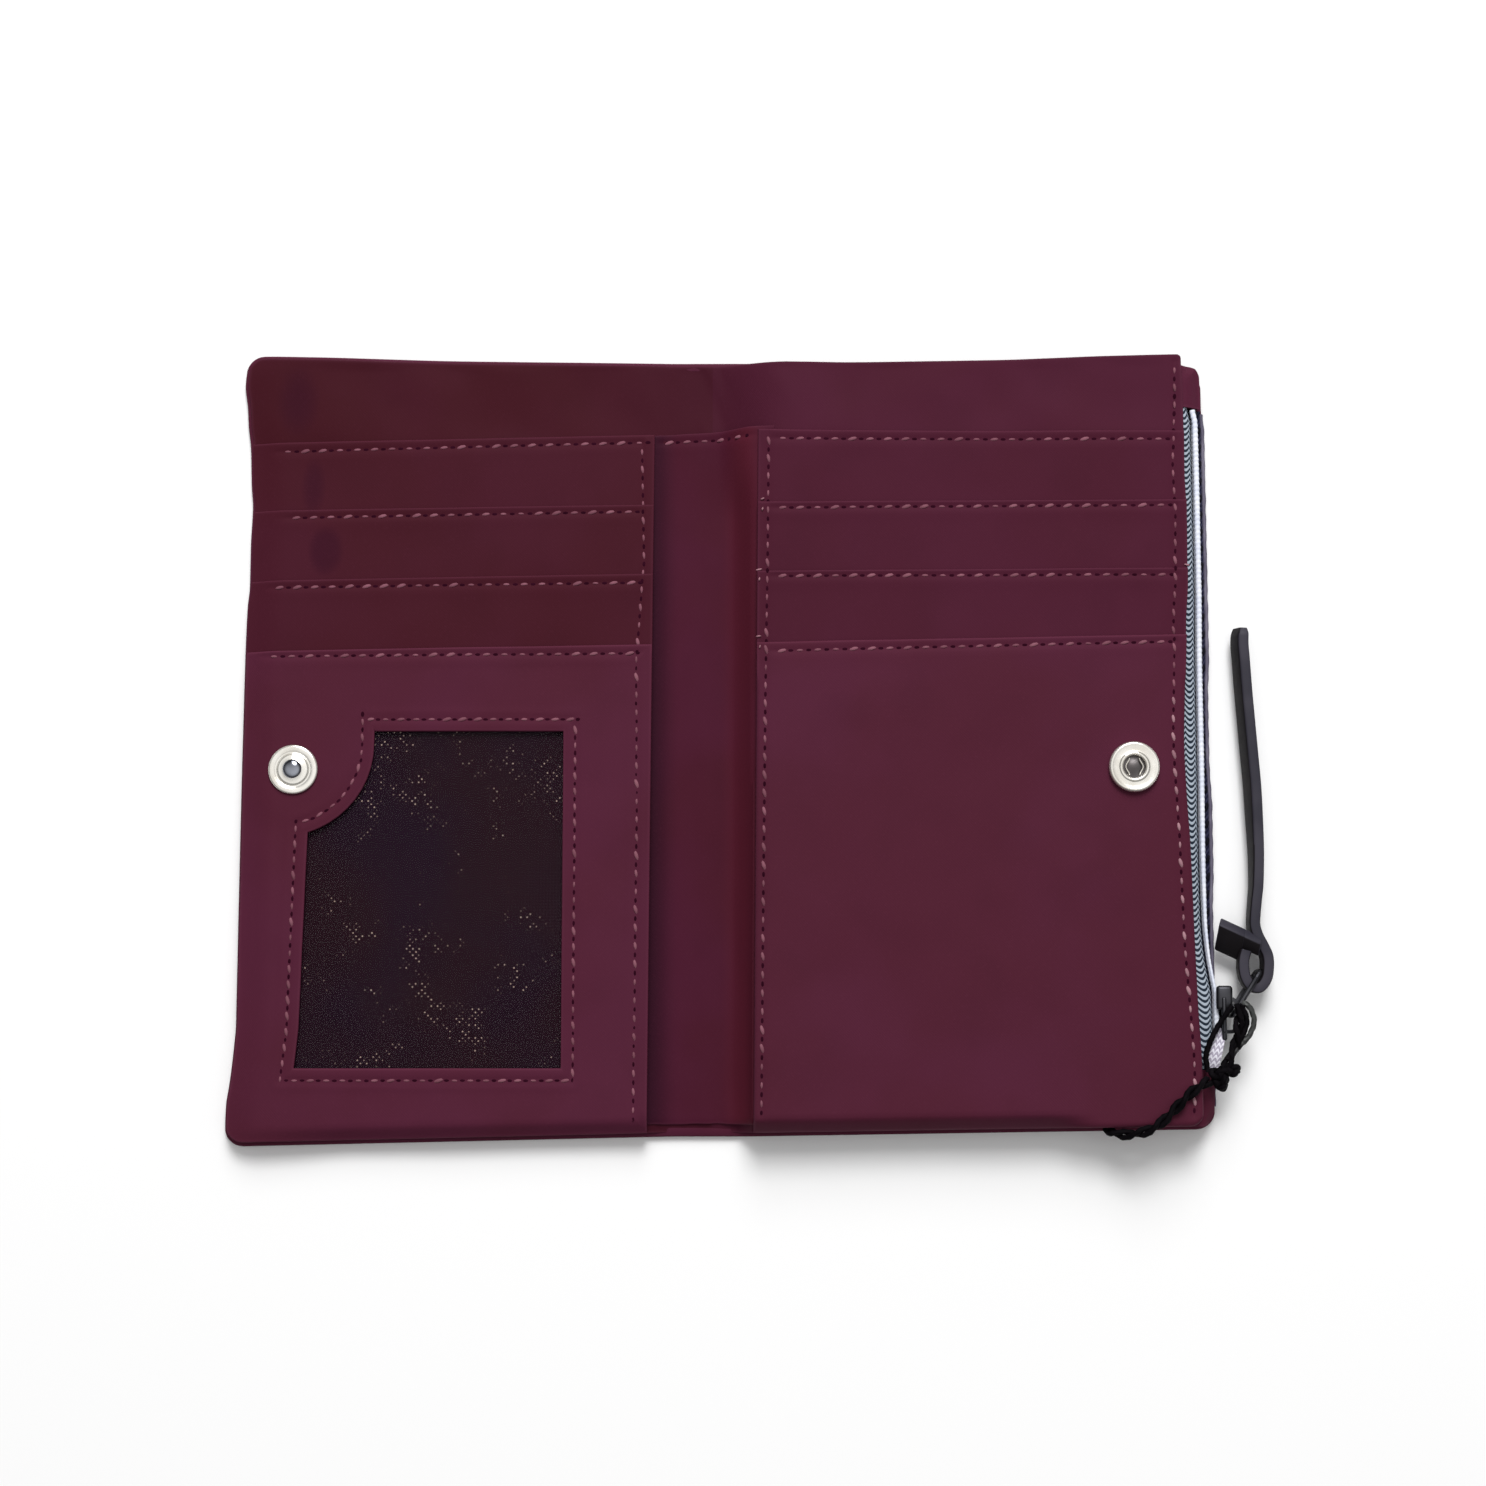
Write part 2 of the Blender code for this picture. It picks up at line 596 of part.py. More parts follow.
def build_left_half(finishes):
    """Cover half: outer cover, stiffener, lining, slots, window panel."""
    body = "cover_half"
    nylon, board = finishes["nylon"], finishes["board"]
    cover("outer_cover_left", -FOLD_X - CLEARANCE / 2, -LEFT_REACH, True, nylon, body)
    inner = -FOLD_X - CLEARANCE / 2 - STIFFENER_INSET
    board_field = field(inner, -LEFT_REACH + STIFFENER_INSET, STIFFENER_INSET, PANEL_CORNER_RADIUS)
    carry(plate("stiffener_left", [board_field], *STIFFENER_LEVEL), body, board)
    lining_start = -RIGHT_PANEL_START
    outer = -LEFT_PANEL_END
    lining = field(lining_start, outer, PANEL_INSET, PANEL_CORNER_RADIUS)
    carry(plate("bill_lining_left", [lining], *LINING_LEVEL), body, nylon)
    start = -LEFT_PANEL_START
    backing, lower_strip, upper_strip, panel = LEFT_LEVELS
    back = field(start, outer, PANEL_INSET, PANEL_CORNER_RADIUS, SLOT_EDGES[0])
    carry(plate("slot_backing_left", [back], *backing), body, nylon)
    slot_strip("slot_strip_left_1", start, outer, 1, lower_strip, nylon, body)
    slot_strip("slot_strip_left_2", start, outer, 2, upper_strip, nylon, body)
    hole = circle(-SNAP_X, SNAP_Y, POST_HOLE_RADIUS)
    openings = [window_outline(0), hole]
    front_panel("window_panel", start, outer, LEFT_LEVELS, openings, nylon, body)
    film_top = panel[0] - CLEARANCE
    mesh_top = film_top - FILM_THICKNESS - CLEARANCE
    film = plate("window_film", [window_outline(FILM_MARGIN)], film_top - FILM_THICKNESS, film_top)
    carry(film, body, finishes["film"])
    mesh = plate("window_mesh", [window_outline(FILM_MARGIN)], mesh_top - MESH_THICKNESS, mesh_top)
    carry(mesh, body, finishes["mesh"])


def build_spine(finishes):
    """Spine: the strip of cover between the folds and its lining."""
    edge = FOLD_X - CLEARANCE / 2
    skin = rounded([(-edge, -HALF_LENGTH), (edge, -HALF_LENGTH), (edge, HALF_LENGTH),
                    (-edge, HALF_LENGTH)], [0, 0, 0, 0])
    carry(plate("outer_cover_spine", [skin], 0, COVER_TOP), "spine", finishes["nylon"])
    low = -HALF_LENGTH + SPINE_LINING_INSET
    lining = rounded([(-edge, low), (edge, low), (edge, SLOT_EDGES[0]), (-edge, SLOT_EDGES[0])],
                     [0, 0, 0, 0])
    carry(plate("spine_lining", [lining], *SPINE_LINING_LEVEL), "spine", finishes["nylon"])


def build_right_half(finishes):
    """Coin half without its zip: cover, linings, divider, slots and front panel."""
    nylon, board = finishes["nylon"], finishes["board"]
    cover("outer_cover_right", FOLD_X + CLEARANCE / 2, RIGHT_REACH, False, nylon)
    start, end = RIGHT_PANEL_START, RIGHT_PANEL_END
    board_end = end - STIFFENER_INSET
    board_field = field(start + STIFFENER_INSET, board_end, STIFFENER_INSET, PANEL_CORNER_RADIUS)
    carry(plate("stiffener_right", [board_field], *STIFFENER_LEVEL), None, board)
    inside = GUSSET_INSET + GUSSET_THICKNESS + CLEARANCE
    lining = field(start + GUSSET_THICKNESS + CLEARANCE, board_end, inside, PANEL_CORNER_RADIUS)
    carry(plate("coin_lining", [lining], *LINING_LEVEL), None, finishes["lining"])
    divider = field(start, end, PANEL_INSET, PANEL_CORNER_RADIUS)
    carry(plate("bill_divider", [divider], *DIVIDER_LEVEL), None, nylon)
    backing, lower_strip, upper_strip, _ = RIGHT_LEVELS
    back = field(start, end, PANEL_INSET, PANEL_CORNER_RADIUS, SLOT_EDGES[0])
    carry(plate("slot_backing_right", [back], *backing), None, nylon)
    slot_strip("slot_strip_right_1", start, end, 1, lower_strip, nylon)
    slot_strip("slot_strip_right_2", start, end, 2, upper_strip, nylon)
    hole = circle(SNAP_X, SNAP_Y, POST_HOLE_RADIUS)
    front_panel("front_panel_right", start, end, RIGHT_LEVELS, [hole], nylon)
    build_gussets(nylon)


def build_gussets(nylon):
    """Walls round the coin pocket and the corner sheets past the ends of the zip."""
    low = STIFFENER_LEVEL[1] + CLEARANCE
    high = DIVIDER_LEVEL[0] - CLEARANCE
    start = RIGHT_PANEL_START
    side = RIGHT_REACH - GUSSET_INSET
    middle = GUSSET_THICKNESS / 2
    for name, zip_end, edge_at, way in (
        ("coin_gusset_top", ZIP_TOP, top_at, 1),
        ("coin_gusset_bottom", ZIP_BOTTOM, bottom_at, -1),
    ):
        inner_y = edge_at(start) - way * (GUSSET_INSET + middle)
        outer_y = edge_at(side) - way * (GUSSET_INSET + middle)
        bend = Vector((side - middle - CORNER_RADIUS, outer_y - way * CORNER_RADIUS))
        path = [Vector((start + GUSSET_THICKNESS + CLEARANCE, inner_y))]
        path += arc(bend, CORNER_RADIUS, way * math.pi / 2, 0)
        path.append(Vector((side - middle, zip_end + way * CLEARANCE)))
        carry(plate(name, [ribbon(path, GUSSET_THICKNESS)], low, high - CLEARANCE - TAPE_THICKNESS),
              None, nylon)
        sheet_start = RIGHT_PANEL_END - CORNER_SHEET_UNDERLAP
        outer = RIGHT_REACH - CORNER_SHEET_INSET
        edge = edge_at(outer) - way * CORNER_SHEET_INSET
        corners = [(sheet_start, zip_end + way * CLEARANCE), (outer, zip_end + way * CLEARANCE),
                   (outer, edge), (sheet_start, edge)]
        sheet = rounded(corners, [0, 0, CORNER_RADIUS, 0])
        carry(plate(name.replace("coin_gusset", "zip_corner"), [sheet], high - TAPE_THICKNESS, high),
              None, nylon)
    fold_wall = rounded([
        (start, bottom_at(start) + GUSSET_INSET),
        (start + GUSSET_THICKNESS, bottom_at(start) + GUSSET_INSET),
        (start + GUSSET_THICKNESS, top_at(start) - GUSSET_INSET),
        (start, top_at(start) - GUSSET_INSET),
    ], [0, 0, 0, 0])
    carry(plate("coin_gusset_fold", [fold_wall], low, high), None, nylon)


def build_zip(finishes):
    """Zip tapes, coils and end stops along the right edge."""
    tape = finishes["tape"]
    standing = TAPE_STANDING_X
    upper_bend = Vector((standing - UPPER_TAPE_BEND, TAPE_CENTRE_Z - UPPER_TAPE_BEND))
    upper = [Vector((RIGHT_PANEL_END - TAPE_UNDERLAP, TAPE_CENTRE_Z))]
    upper += arc(upper_bend, UPPER_TAPE_BEND, math.pi / 2, 0)
    upper.append(Vector((standing, UPPER_COIL_Z - COIL_RADIUS)))
    lower_bend = Vector((standing + LOWER_TAPE_BEND, LOWER_TAPE_Z + LOWER_TAPE_BEND))
    lower = [Vector((standing, LOWER_COIL_Z + COIL_RADIUS))]
    lower += arc(lower_bend, LOWER_TAPE_BEND, math.pi, math.pi * 3 / 2)
    lower.append(Vector((RIGHT_REACH - LOWER_TAPE_INSET, LOWER_TAPE_Z)))
    middle = (ZIP_TOP + ZIP_BOTTOM) / 2
    length = ZIP_TOP - ZIP_BOTTOM
    for name, path in (("zip_tape_upper", upper), ("zip_tape_lower", lower)):
        sheet = plate(name, [ribbon(path, TAPE_THICKNESS)], 0, length)
        sheet.rotation_euler = (math.pi / 2, 0, 0)
        sheet.location = (0, middle, 0)
        carry(sheet, None, tape)
    coil_low = ZIP_BOTTOM + STOP_LENGTH + CLEARANCE
    coil_high = ZIP_TOP - STOP_LENGTH - CLEARANCE
    for name, height in (("zip_coil_upper", UPPER_COIL_Z), ("zip_coil_lower", LOWER_COIL_Z)):
        ends = [(COIL_X, coil_low, height), (COIL_X, coil_high, height)]
        carry(tube(name, ends, COIL_RADIUS), None, finishes["coil"])
    stop_near = COIL_X - COIL_RADIUS
    for name, low in (("zip_stop_bottom", ZIP_BOTTOM), ("zip_stop_top", ZIP_TOP - STOP_LENGTH)):
        stop = block(name, (stop_near, low, LOWER_COIL_Z),
                     (stop_near + STOP_DEPTH, low + STOP_LENGTH, UPPER_COIL_Z))
        carry(stop, None, finishes["gunmetal"])


def build_snap(finishes):
    """Stud and socket with the caps that hold them from behind."""
    panel_top = LEFT_LEVELS[-1][1]
    base = panel_top + CLEARANCE
    neck_top = STUD_FLANGE_THICKNESS + STUD_STEP_RISE
    head_middle = STUD_HEIGHT - STUD_HEAD_RISE
    head = arc(Vector((0, 0)), 1, math.pi * 3 / 8, -math.pi / 4)
    profile = [(0, STUD_HEIGHT)]
    profile += [(p.x * STUD_HEAD_RADIUS, head_middle + p.y * STUD_HEAD_RISE) for p in head]
    profile += [
        (STUD_NECK_RADIUS, neck_top),
        (STUD_STEP_RADIUS, neck_top),
        (STUD_STEP_RADIUS + STUD_STEP_RISE, STUD_FLANGE_THICKNESS),
        (STUD_RADIUS - STUD_STEP_RISE, STUD_FLANGE_THICKNESS),
        (STUD_RADIUS, STUD_FLANGE_THICKNESS - STUD_STEP_RISE),
        (STUD_RADIUS, 0),
        (0, 0),
    ]
    stud = turned("snap_stud", profile, (-SNAP_X, SNAP_Y, base))
    carry(stud, "cover_half", finishes["chrome"])
    socket_base = RIGHT_LEVELS[-1][1] + CLEARANCE
    crown = SOCKET_HEIGHT
    profile = [
        (SOCKET_BORE_RADIUS, crown),
        (SOCKET_RADIUS - SOCKET_EDGE_ROUND, crown),
        (SOCKET_RADIUS, crown - SOCKET_EDGE_ROUND),
        (SOCKET_RADIUS, 0),
        (SOCKET_BORE_RADIUS, 0),
        (SOCKET_BORE_RADIUS, crown),
    ]
    socket = turned("snap_socket", profile, (SNAP_X, SNAP_Y, socket_base))
    carry(socket, None, finishes["chrome"])
    for name, x, level, body in (
        ("snap_stud_cap", -SNAP_X, LEFT_LEVELS[-1], "cover_half"),
        ("snap_socket_cap", SNAP_X, RIGHT_LEVELS[-1], None),
    ):
        cap_top = -CLEARANCE - PANEL_THICKNESS
        post_top = -POST_RECESS
        profile = [(0, post_top), (POST_RADIUS, post_top), (POST_RADIUS, cap_top),
                   (CAP_RADIUS, cap_top), (CAP_RADIUS, cap_top - CAP_THICKNESS),
                   (0, cap_top - CAP_THICKNESS)]
        cap = turned(name, profile, (x, SNAP_Y, level[1]))
        carry(cap, body, finishes["gunmetal"])


def side_plate(name, half_height, near, far, collection=MODEL):
    """Slider plate seen from the side: wide at the mouth, narrower at the tail."""
    half = SLIDER_LENGTH / 2
    rear = half_height * SLIDER_REAR_SHARE
    corners = [(-half, -half_height), (0, -half_height), (half, -rear),
               (half, rear), (0, half_height), (-half, half_height)]
    radius = half_height * SLIDER_CORNER_SHARE
    outline = rounded(corners, [radius, 0, radius, radius, 0, radius])
    made = plate(name, [outline], near, far, collection)
    made.matrix_world = Matrix.Translation((0, SLIDER_Y, CHAIN_Z)) @ Matrix((
        (0, 0, 1, (near + far) / 2), (1, 0, 0, 0), (0, 1, 0, 0), (0, 0, 0, 1)))
    return as_mesh(made)


def build_slider(finishes):
    """Slider body with both plates, its crown, the pull ring and the strap."""
    metal = finishes["gunmetal"]
    outer = side_plate("slider_body", SLIDER_HALF_HEIGHT, SLIDER_PLATE_X, CROWN_X)
    inner_far = TAPE_STANDING_X - TAPE_THICKNESS / 2 - INNER_PLATE_GAP
    inner_near = inner_far - INNER_PLATE_THICKNESS
    inner = side_plate("slider_inner_plate", INNER_PLATE_HALF_HEIGHT, inner_near, inner_far, CUTTERS)
    mouth = SLIDER_Y - SLIDER_LENGTH / 2
    web_low = mouth + INNER_PLATE_THICKNESS
    web = block("slider_web", (inner_far - INNER_PLATE_THICKNESS / 2, web_low,
                               CHAIN_Z - WEB_THICKNESS / 2),
                (SLIDER_PLATE_X + SLIDER_PLATE / 2, web_low + WEB_LENGTH,
                 CHAIN_Z + WEB_THICKNESS / 2), CUTTERS)
    flange_low = UPPER_COIL_Z + COIL_RADIUS + SLIDER_FLANGE_COIL_GAP
    flange_near = TAPE_STANDING_X + TAPE_THICKNESS / 2 + SLIDER_FLANGE_TAPE_GAP
    flange = block("slider_flange", (flange_near, mouth + SLIDER_PLATE, flange_low),
                   (SLIDER_PLATE_X + SLIDER_PLATE / 2, mouth + SLIDER_LENGTH - SLIDER_PLATE,
                    flange_low + SLIDER_FLANGE_THICKNESS), CUTTERS)
    for other in (inner, web, flange):
        combine(outer, other, "UNION")
        carry(other, "slider", None)
    carry(outer, "slider", metal)
    foot = CROWN_LENGTH / 2
    outer_arch = [(CROWN_X + CLEARANCE, SLIDER_Y - foot), (CROWN_X + CROWN_RISE, SLIDER_Y - foot),
                  (CROWN_X + CROWN_RISE, SLIDER_Y + foot), (CROWN_X + CLEARANCE, SLIDER_Y + foot)]
    span = foot - CROWN_THICKNESS
    inner_arch = [(CROWN_X + CLEARANCE, SLIDER_Y + span),
                  (CROWN_X + CROWN_RISE - CROWN_THICKNESS, SLIDER_Y + span),
                  (CROWN_X + CROWN_RISE - CROWN_THICKNESS, SLIDER_Y - span),
                  (CROWN_X + CLEARANCE, SLIDER_Y - span)]
    arch = rounded(outer_arch, [0, CROWN_OUTER_ROUND, CROWN_OUTER_ROUND, 0])
    arch += rounded(inner_arch, [0, CROWN_THICKNESS, CROWN_THICKNESS, 0])
    crown = plate("slider_crown", [arch], CHAIN_Z - CROWN_WIDTH / 2, CHAIN_Z + CROWN_WIDTH / 2)
    carry(crown, "slider", metal)
    build_ring(metal)
    build_strap(finishes["leather"])


def build_ring(metal):
    """Pull ring: a wire loop standing upright between the crown and the strap."""
    near = Vector((RING_NEAR_X, SLIDER_Y))
    far = Vector((RING_FAR_X, RING_FAR_Y))
    length = (far - near).length
    along = (far - near).normalized()
    corners = [(0, RING_LOW), (length, RING_LOW), (length, RING_LOW + RING_HEIGHT),
               (0, RING_LOW + RING_HEIGHT)]
    loop = rounded(corners, [RING_CORNER_RADIUS] * 4)
    points = [(near.x + along.x * p.x, near.y + along.y * p.x, p.y) for p in loop]
    carry(tube("pull_ring", points, RING_WIRE_RADIUS, cyclic=True), "ring", metal)


def strap_tail():
    """Centre line of the strap's long tail, bowed away from the wallet."""
    start = Vector((STRAP_LOOP_CENTRE_X, STRAP_LOOP_CENTRE_Y + STRAP_LOOP_HALF_LENGTH))
    tip = Vector((STRAP_TIP_X, STRAP_TIP_Y))
    points = []
    for step in range(2 * ARC_STEPS + 1):
        share = step / (2 * ARC_STEPS)
        bow = STRAP_BOW * math.sin(math.pi * share)
        points.append(start.lerp(tip, share) + Vector((bow, 0)))
    return points


def build_strap(leather):
    """Strap: an oval loop round the ring's bar, a long tail and the short slit end."""
    centre = Vector((STRAP_LOOP_CENTRE_X, STRAP_LOOP_CENTRE_Y))
    low, high = STRAP_LOW, STRAP_LOW + STRAP_WIDTH
    loops = []
    for grow in (STRAP_THICKNESS / 2, -STRAP_THICKNESS / 2):
        turns = [math.tau * step / TURN_STEPS for step in range(TURN_STEPS)]
        loops.append([centre + Vector(((STRAP_LOOP_HALF_WIDTH + grow) * math.cos(turn),
                                       (STRAP_LOOP_HALF_LENGTH + grow) * math.sin(turn)))
                      for turn in turns])
    strap = as_mesh(plate("pull_strap", loops, low, high))
    tail = as_mesh(plate("strap_tail", [ribbon(strap_tail(), STRAP_THICKNESS)], low, high, CUTTERS))
    tip = Vector((STRAP_END_X, STRAP_END_Y))
    root = centre + Vector((0, STRAP_LOOP_HALF_LENGTH))
    end = as_mesh(plate("strap_end", [ribbon([root, tip], STRAP_THICKNESS)], low, high, CUTTERS))
    tilt = -math.atan(STRAP_TIP_DROP / (STRAP_TIP_Y - RING_FAR_Y))
    pivot = Vector(PIVOTS["strap"][0])
    lean = Matrix.Translation(pivot) @ Matrix.Rotation(tilt, 4, "X") @ Matrix.Translation(-pivot)
    for piece in (strap, tail, end):
        piece.matrix_world = lean @ piece.matrix_world
    for other in (tail, end):
        combine(strap, other, "UNION")
        carry(other, "strap", None)
    carry(strap, "strap", leather)


def smooth_route(route, count):
    """Even points on a smooth curve through a hand-chosen route."""
    places = [Vector(point) for point in route]
    places = [2 * places[0] - places[1]] + places + [2 * places[-1] - places[-2]]
    spans = len(places) - 3
    points = []
    for index in range(count):
        reach = spans * index / (count - 1)
        span = min(int(reach), spans - 1)
        t = reach - span
        a, b, c, d = places[span:span + 4]
        points.append(((2 * b) + (c - a) * t + (2 * a - 5 * b + 4 * c - d) * t ** 2
                       + (3 * b - a - 3 * c + d) * t ** 3) / 2)
    return points


def strand_points(side):
    """One strand of the doubled cord, winding round the route."""
    route = smooth_route(CORD_ROUTE, STRAND_POINTS)
    points = []
    run = 0
    for index, here in enumerate(route):
        before = route[max(index - 1, 0)]
        after = route[min(index + 1, len(route) - 1)]
        along = (after - before).normalized()
        across = along.cross(Vector((0, 0, 1))).normalized()
        up = across.cross(along)
        if index:
            run += (here - route[index - 1]).length
        turn = math.tau * run / STRAND_TWIST_PITCH
        offset = across * math.cos(turn) + up * math.sin(turn)
        points.append(here + offset * side * STRAND_SPACING / 2)
    return points


def build_cord(finishes):
    """Two twisted strands from the bottom seam and the knot that ends them."""
    for name, side in (("tag_cord_1", 1), ("tag_cord_2", -1)):
        carry(tube(name, strand_points(side), STRAND_RADIUS), None, finishes["cord"])
    end = Vector(CORD_ROUTE[-1])
    along = (end - Vector(CORD_ROUTE[-2])).normalized()
    level_way = Vector((along.x, along.y, 0)).normalized()
    centre = end + along * (KNOT_RADIUS + CLEARANCE)
    lumps = []
    for index, place in enumerate((centre, centre + level_way * KNOT_SPREAD)):
        name = "cord_knot" if index == 0 else "cord_knot_lump"
        mesh = bpy.data.meshes.new(name)
        shape = bmesh.new()
        bmesh.ops.create_uvsphere(shape, u_segments=KNOT_STEPS, v_segments=KNOT_STEPS // 2,
                                  radius=KNOT_RADIUS)
        shape.to_mesh(mesh)
        shape.free()
        lump = link(name, mesh, MODEL if index == 0 else CUTTERS)
        lump.location = place
        lumps.append(lump)
    combine(lumps[0], lumps[1], "UNION")
    carry(lumps[0], None, finishes["cord"])


def main():
    """Build the whole wallet."""
    clear_scene()
    add_pivots()
    finishes = {
        "nylon": material("burgundy_nylon", (0.090, 0.020, 0.038), 0.62),
        "board": material("stiffener_board", (0.55, 0.52, 0.47), 0.90),
        "lining": material("grey_lining", (0.16, 0.17, 0.20), 0.85),
        "film": material("clear_film", (0.75, 0.75, 0.78), 0.12),
        "mesh": material("black_mesh", (0.012, 0.008, 0.010), 0.75),
        "chrome": material("nickel_snap", (0.78, 0.76, 0.74), 0.18, 1.0),
        "gunmetal": material("gunmetal", (0.10, 0.10, 0.11), 0.32, 1.0),
        "tape": material("grey_tape", (0.16, 0.18, 0.22), 0.88),
        "coil": material("white_coil", (0.76, 0.78, 0.86), 0.45),
        "leather": material("dark_leather", (0.045, 0.042, 0.055), 0.55),
        "cord": material("black_cord", (0.010, 0.009, 0.010), 0.80),
    }
    build_left_half(finishes)
    build_spine(finishes)
    build_right_half(finishes)
    build_zip(finishes)
    build_snap(finishes)
    build_slider(finishes)
    build_cord(finishes)


main()
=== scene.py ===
"""Looks of a bifold wallet lying open: cloth, stitches, window, snap, zip, strap and cord.

Metres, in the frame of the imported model: +X to the zip side, +Y to the top edge, +Z up.
"""
import itertools
import json
import logging
import math
from dataclasses import dataclass, field
from enum import Enum
from functools import partialmethod
from typing import Callable, ClassVar, Iterable

import bmesh
import bpy
from mathutils import Matrix, Vector, noise


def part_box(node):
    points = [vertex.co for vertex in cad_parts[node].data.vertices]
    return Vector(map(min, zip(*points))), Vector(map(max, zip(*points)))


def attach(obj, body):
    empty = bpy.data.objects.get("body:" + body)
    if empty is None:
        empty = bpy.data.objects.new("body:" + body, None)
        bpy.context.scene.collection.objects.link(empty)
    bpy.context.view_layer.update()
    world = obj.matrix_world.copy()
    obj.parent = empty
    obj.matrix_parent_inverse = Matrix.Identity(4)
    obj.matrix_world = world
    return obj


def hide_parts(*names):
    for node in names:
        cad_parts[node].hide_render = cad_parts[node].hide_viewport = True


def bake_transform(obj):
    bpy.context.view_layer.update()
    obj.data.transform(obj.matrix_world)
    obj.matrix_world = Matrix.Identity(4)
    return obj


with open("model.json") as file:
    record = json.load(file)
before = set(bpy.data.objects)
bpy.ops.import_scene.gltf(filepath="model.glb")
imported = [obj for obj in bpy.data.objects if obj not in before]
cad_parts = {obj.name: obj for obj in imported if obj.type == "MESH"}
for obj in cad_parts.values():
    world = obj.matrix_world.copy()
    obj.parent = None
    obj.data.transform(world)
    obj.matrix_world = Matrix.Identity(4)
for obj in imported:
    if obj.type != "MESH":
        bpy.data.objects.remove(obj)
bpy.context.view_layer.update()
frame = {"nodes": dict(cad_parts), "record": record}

LOG = logging.getLogger("wallet")

Plan = tuple[float, float]
Place = tuple[float, float, float]
Colour = tuple[float, float, float]
Line = Callable[[float], float]
Height = Callable[[float, float], float]
Blend = tuple[Vector, Vector]

UP = Vector((0, 0, 1))

# Camera of the photograph: nearly overhead, leaning towards the bottom edge
CAMERA_TARGET = Vector((0.0069, -0.0008, 0.006))
CAMERA_LEAN = math.radians(7.0)
CAMERA_DISTANCE = 0.600
CAMERA_LENS = 65.2

# Route of the doubled cord, as in the model
CORD_ROUTE = (
    (0.0866, -0.0857, 0.0080), (0.0869, -0.0864, 0.0083), (0.0878, -0.0868, 0.0089),
    (0.0892, -0.0871, 0.0096), (0.0912, -0.0871, 0.0104), (0.0934, -0.0867, 0.0114),
    (0.0957, -0.0858, 0.0123), (0.0978, -0.0843, 0.0126), (0.0998, -0.0824, 0.01255),
    (0.1020, -0.0802, 0.01250), (0.1043, -0.0780, 0.0124), (0.1066, -0.0764, 0.0116),
    (0.1086, -0.0755, 0.0103))

# Stitching: distance from stitch to stitch, and the size of one stitch and of the dark ellipse of
# painted shade at one needle hole
STITCH_PITCH = 0.0040
STITCH_SIZE = Vector((0.00108, 0.00042, 0.00022))
STITCH_GAP_SHADE_SIZE = Vector((0.00062, 0.00040, 0.00010))
STITCH_SLANT = math.radians(13)

# How far the linings and panels stay inside the cover's edge, and radius of the cover's corners
LINING_INSET = 0.0009
CORNER = 0.0042

# How much lower the cover's top edge lies past the divider's corner, and where it steps down
EDGE_STEP = 0.0021
EDGE_STEP_SPAN = (0.1030, 0.1046)

# Width of the painted highlight along a folded edge, where the rounded fold catches the light
FOLD_HIGHLIGHT_WIDTH = 0.0007

# Distances from a folded edge at which a sheet has extra rows of faces
FINE_ROWS = (0.0, 0.00006, 0.00016, 0.0003, 0.0005, 0.0008, 0.0012, 0.0016,
             0.0019, 0.0022, 0.0026, 0.0032, 0.0042)


class Body(Enum):
    """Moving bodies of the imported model."""

    COIN = "coin_half"
    SPINE = "spine"
    COVER = "cover_half"
    SLIDER = "slider"
    RING = "ring"
    STRAP = "strap"


class Side(Enum):
    """Borders of a sheet."""

    LEFT = "left"
    RIGHT = "right"
    LOWER = "lower"
    UPPER = "upper"


def smooth(value: float) -> float:
    """Ease a share between 0 and 1."""
    held = min(1.0, max(0.0, value))
    return held * held * (3 - 2 * held)


def between(place: float, low: float, high: float) -> float:
    """Eased share of a place between two others."""
    return smooth((place - low) / (high - low))


def through(knots: tuple[Plan, ...], place: float) -> float:
    """Smooth curve through knots that doesn't overshoot them.

    Args:
        knots: Places in rising order, each with its value.
        place: Where the curve is read.

    Returns:
        The value there, held flat past both ends.
    """
    if place <= knots[0][0]:
        return knots[0][1]
    if place >= knots[-1][0]:
        return knots[-1][1]
    rates = [(b[1] - a[1]) / (b[0] - a[0]) for a, b in zip(knots, knots[1:])]
    index = max(i for i in range(len(rates)) if place >= knots[i][0])

    def slope(knot: int) -> float:
        """Slope at a knot: none at the ends and where the curve turns round."""
        if knot in (0, len(rates)) or rates[knot - 1] * rates[knot] <= 0:
            return 0.0
        return 2 * rates[knot - 1] * rates[knot] / (rates[knot - 1] + rates[knot])

    (low, first), (high, second) = knots[index], knots[index + 1]
    span = high - low
    t = (place - low) / span
    return ((1 + 2 * t) * (1 - t) ** 2 * first + t * (1 - t) ** 2 * span * slope(index)
            + t * t * (3 - 2 * t) * second + t * t * (t - 1) * span * slope(index + 1))


def swell(x: float, y: float, span: float, seed: float) -> float:
    """Soft rise and fall between -1 and 1 with waves of about a span."""
    return noise.noise(Vector((x / span, y / span, seed)))


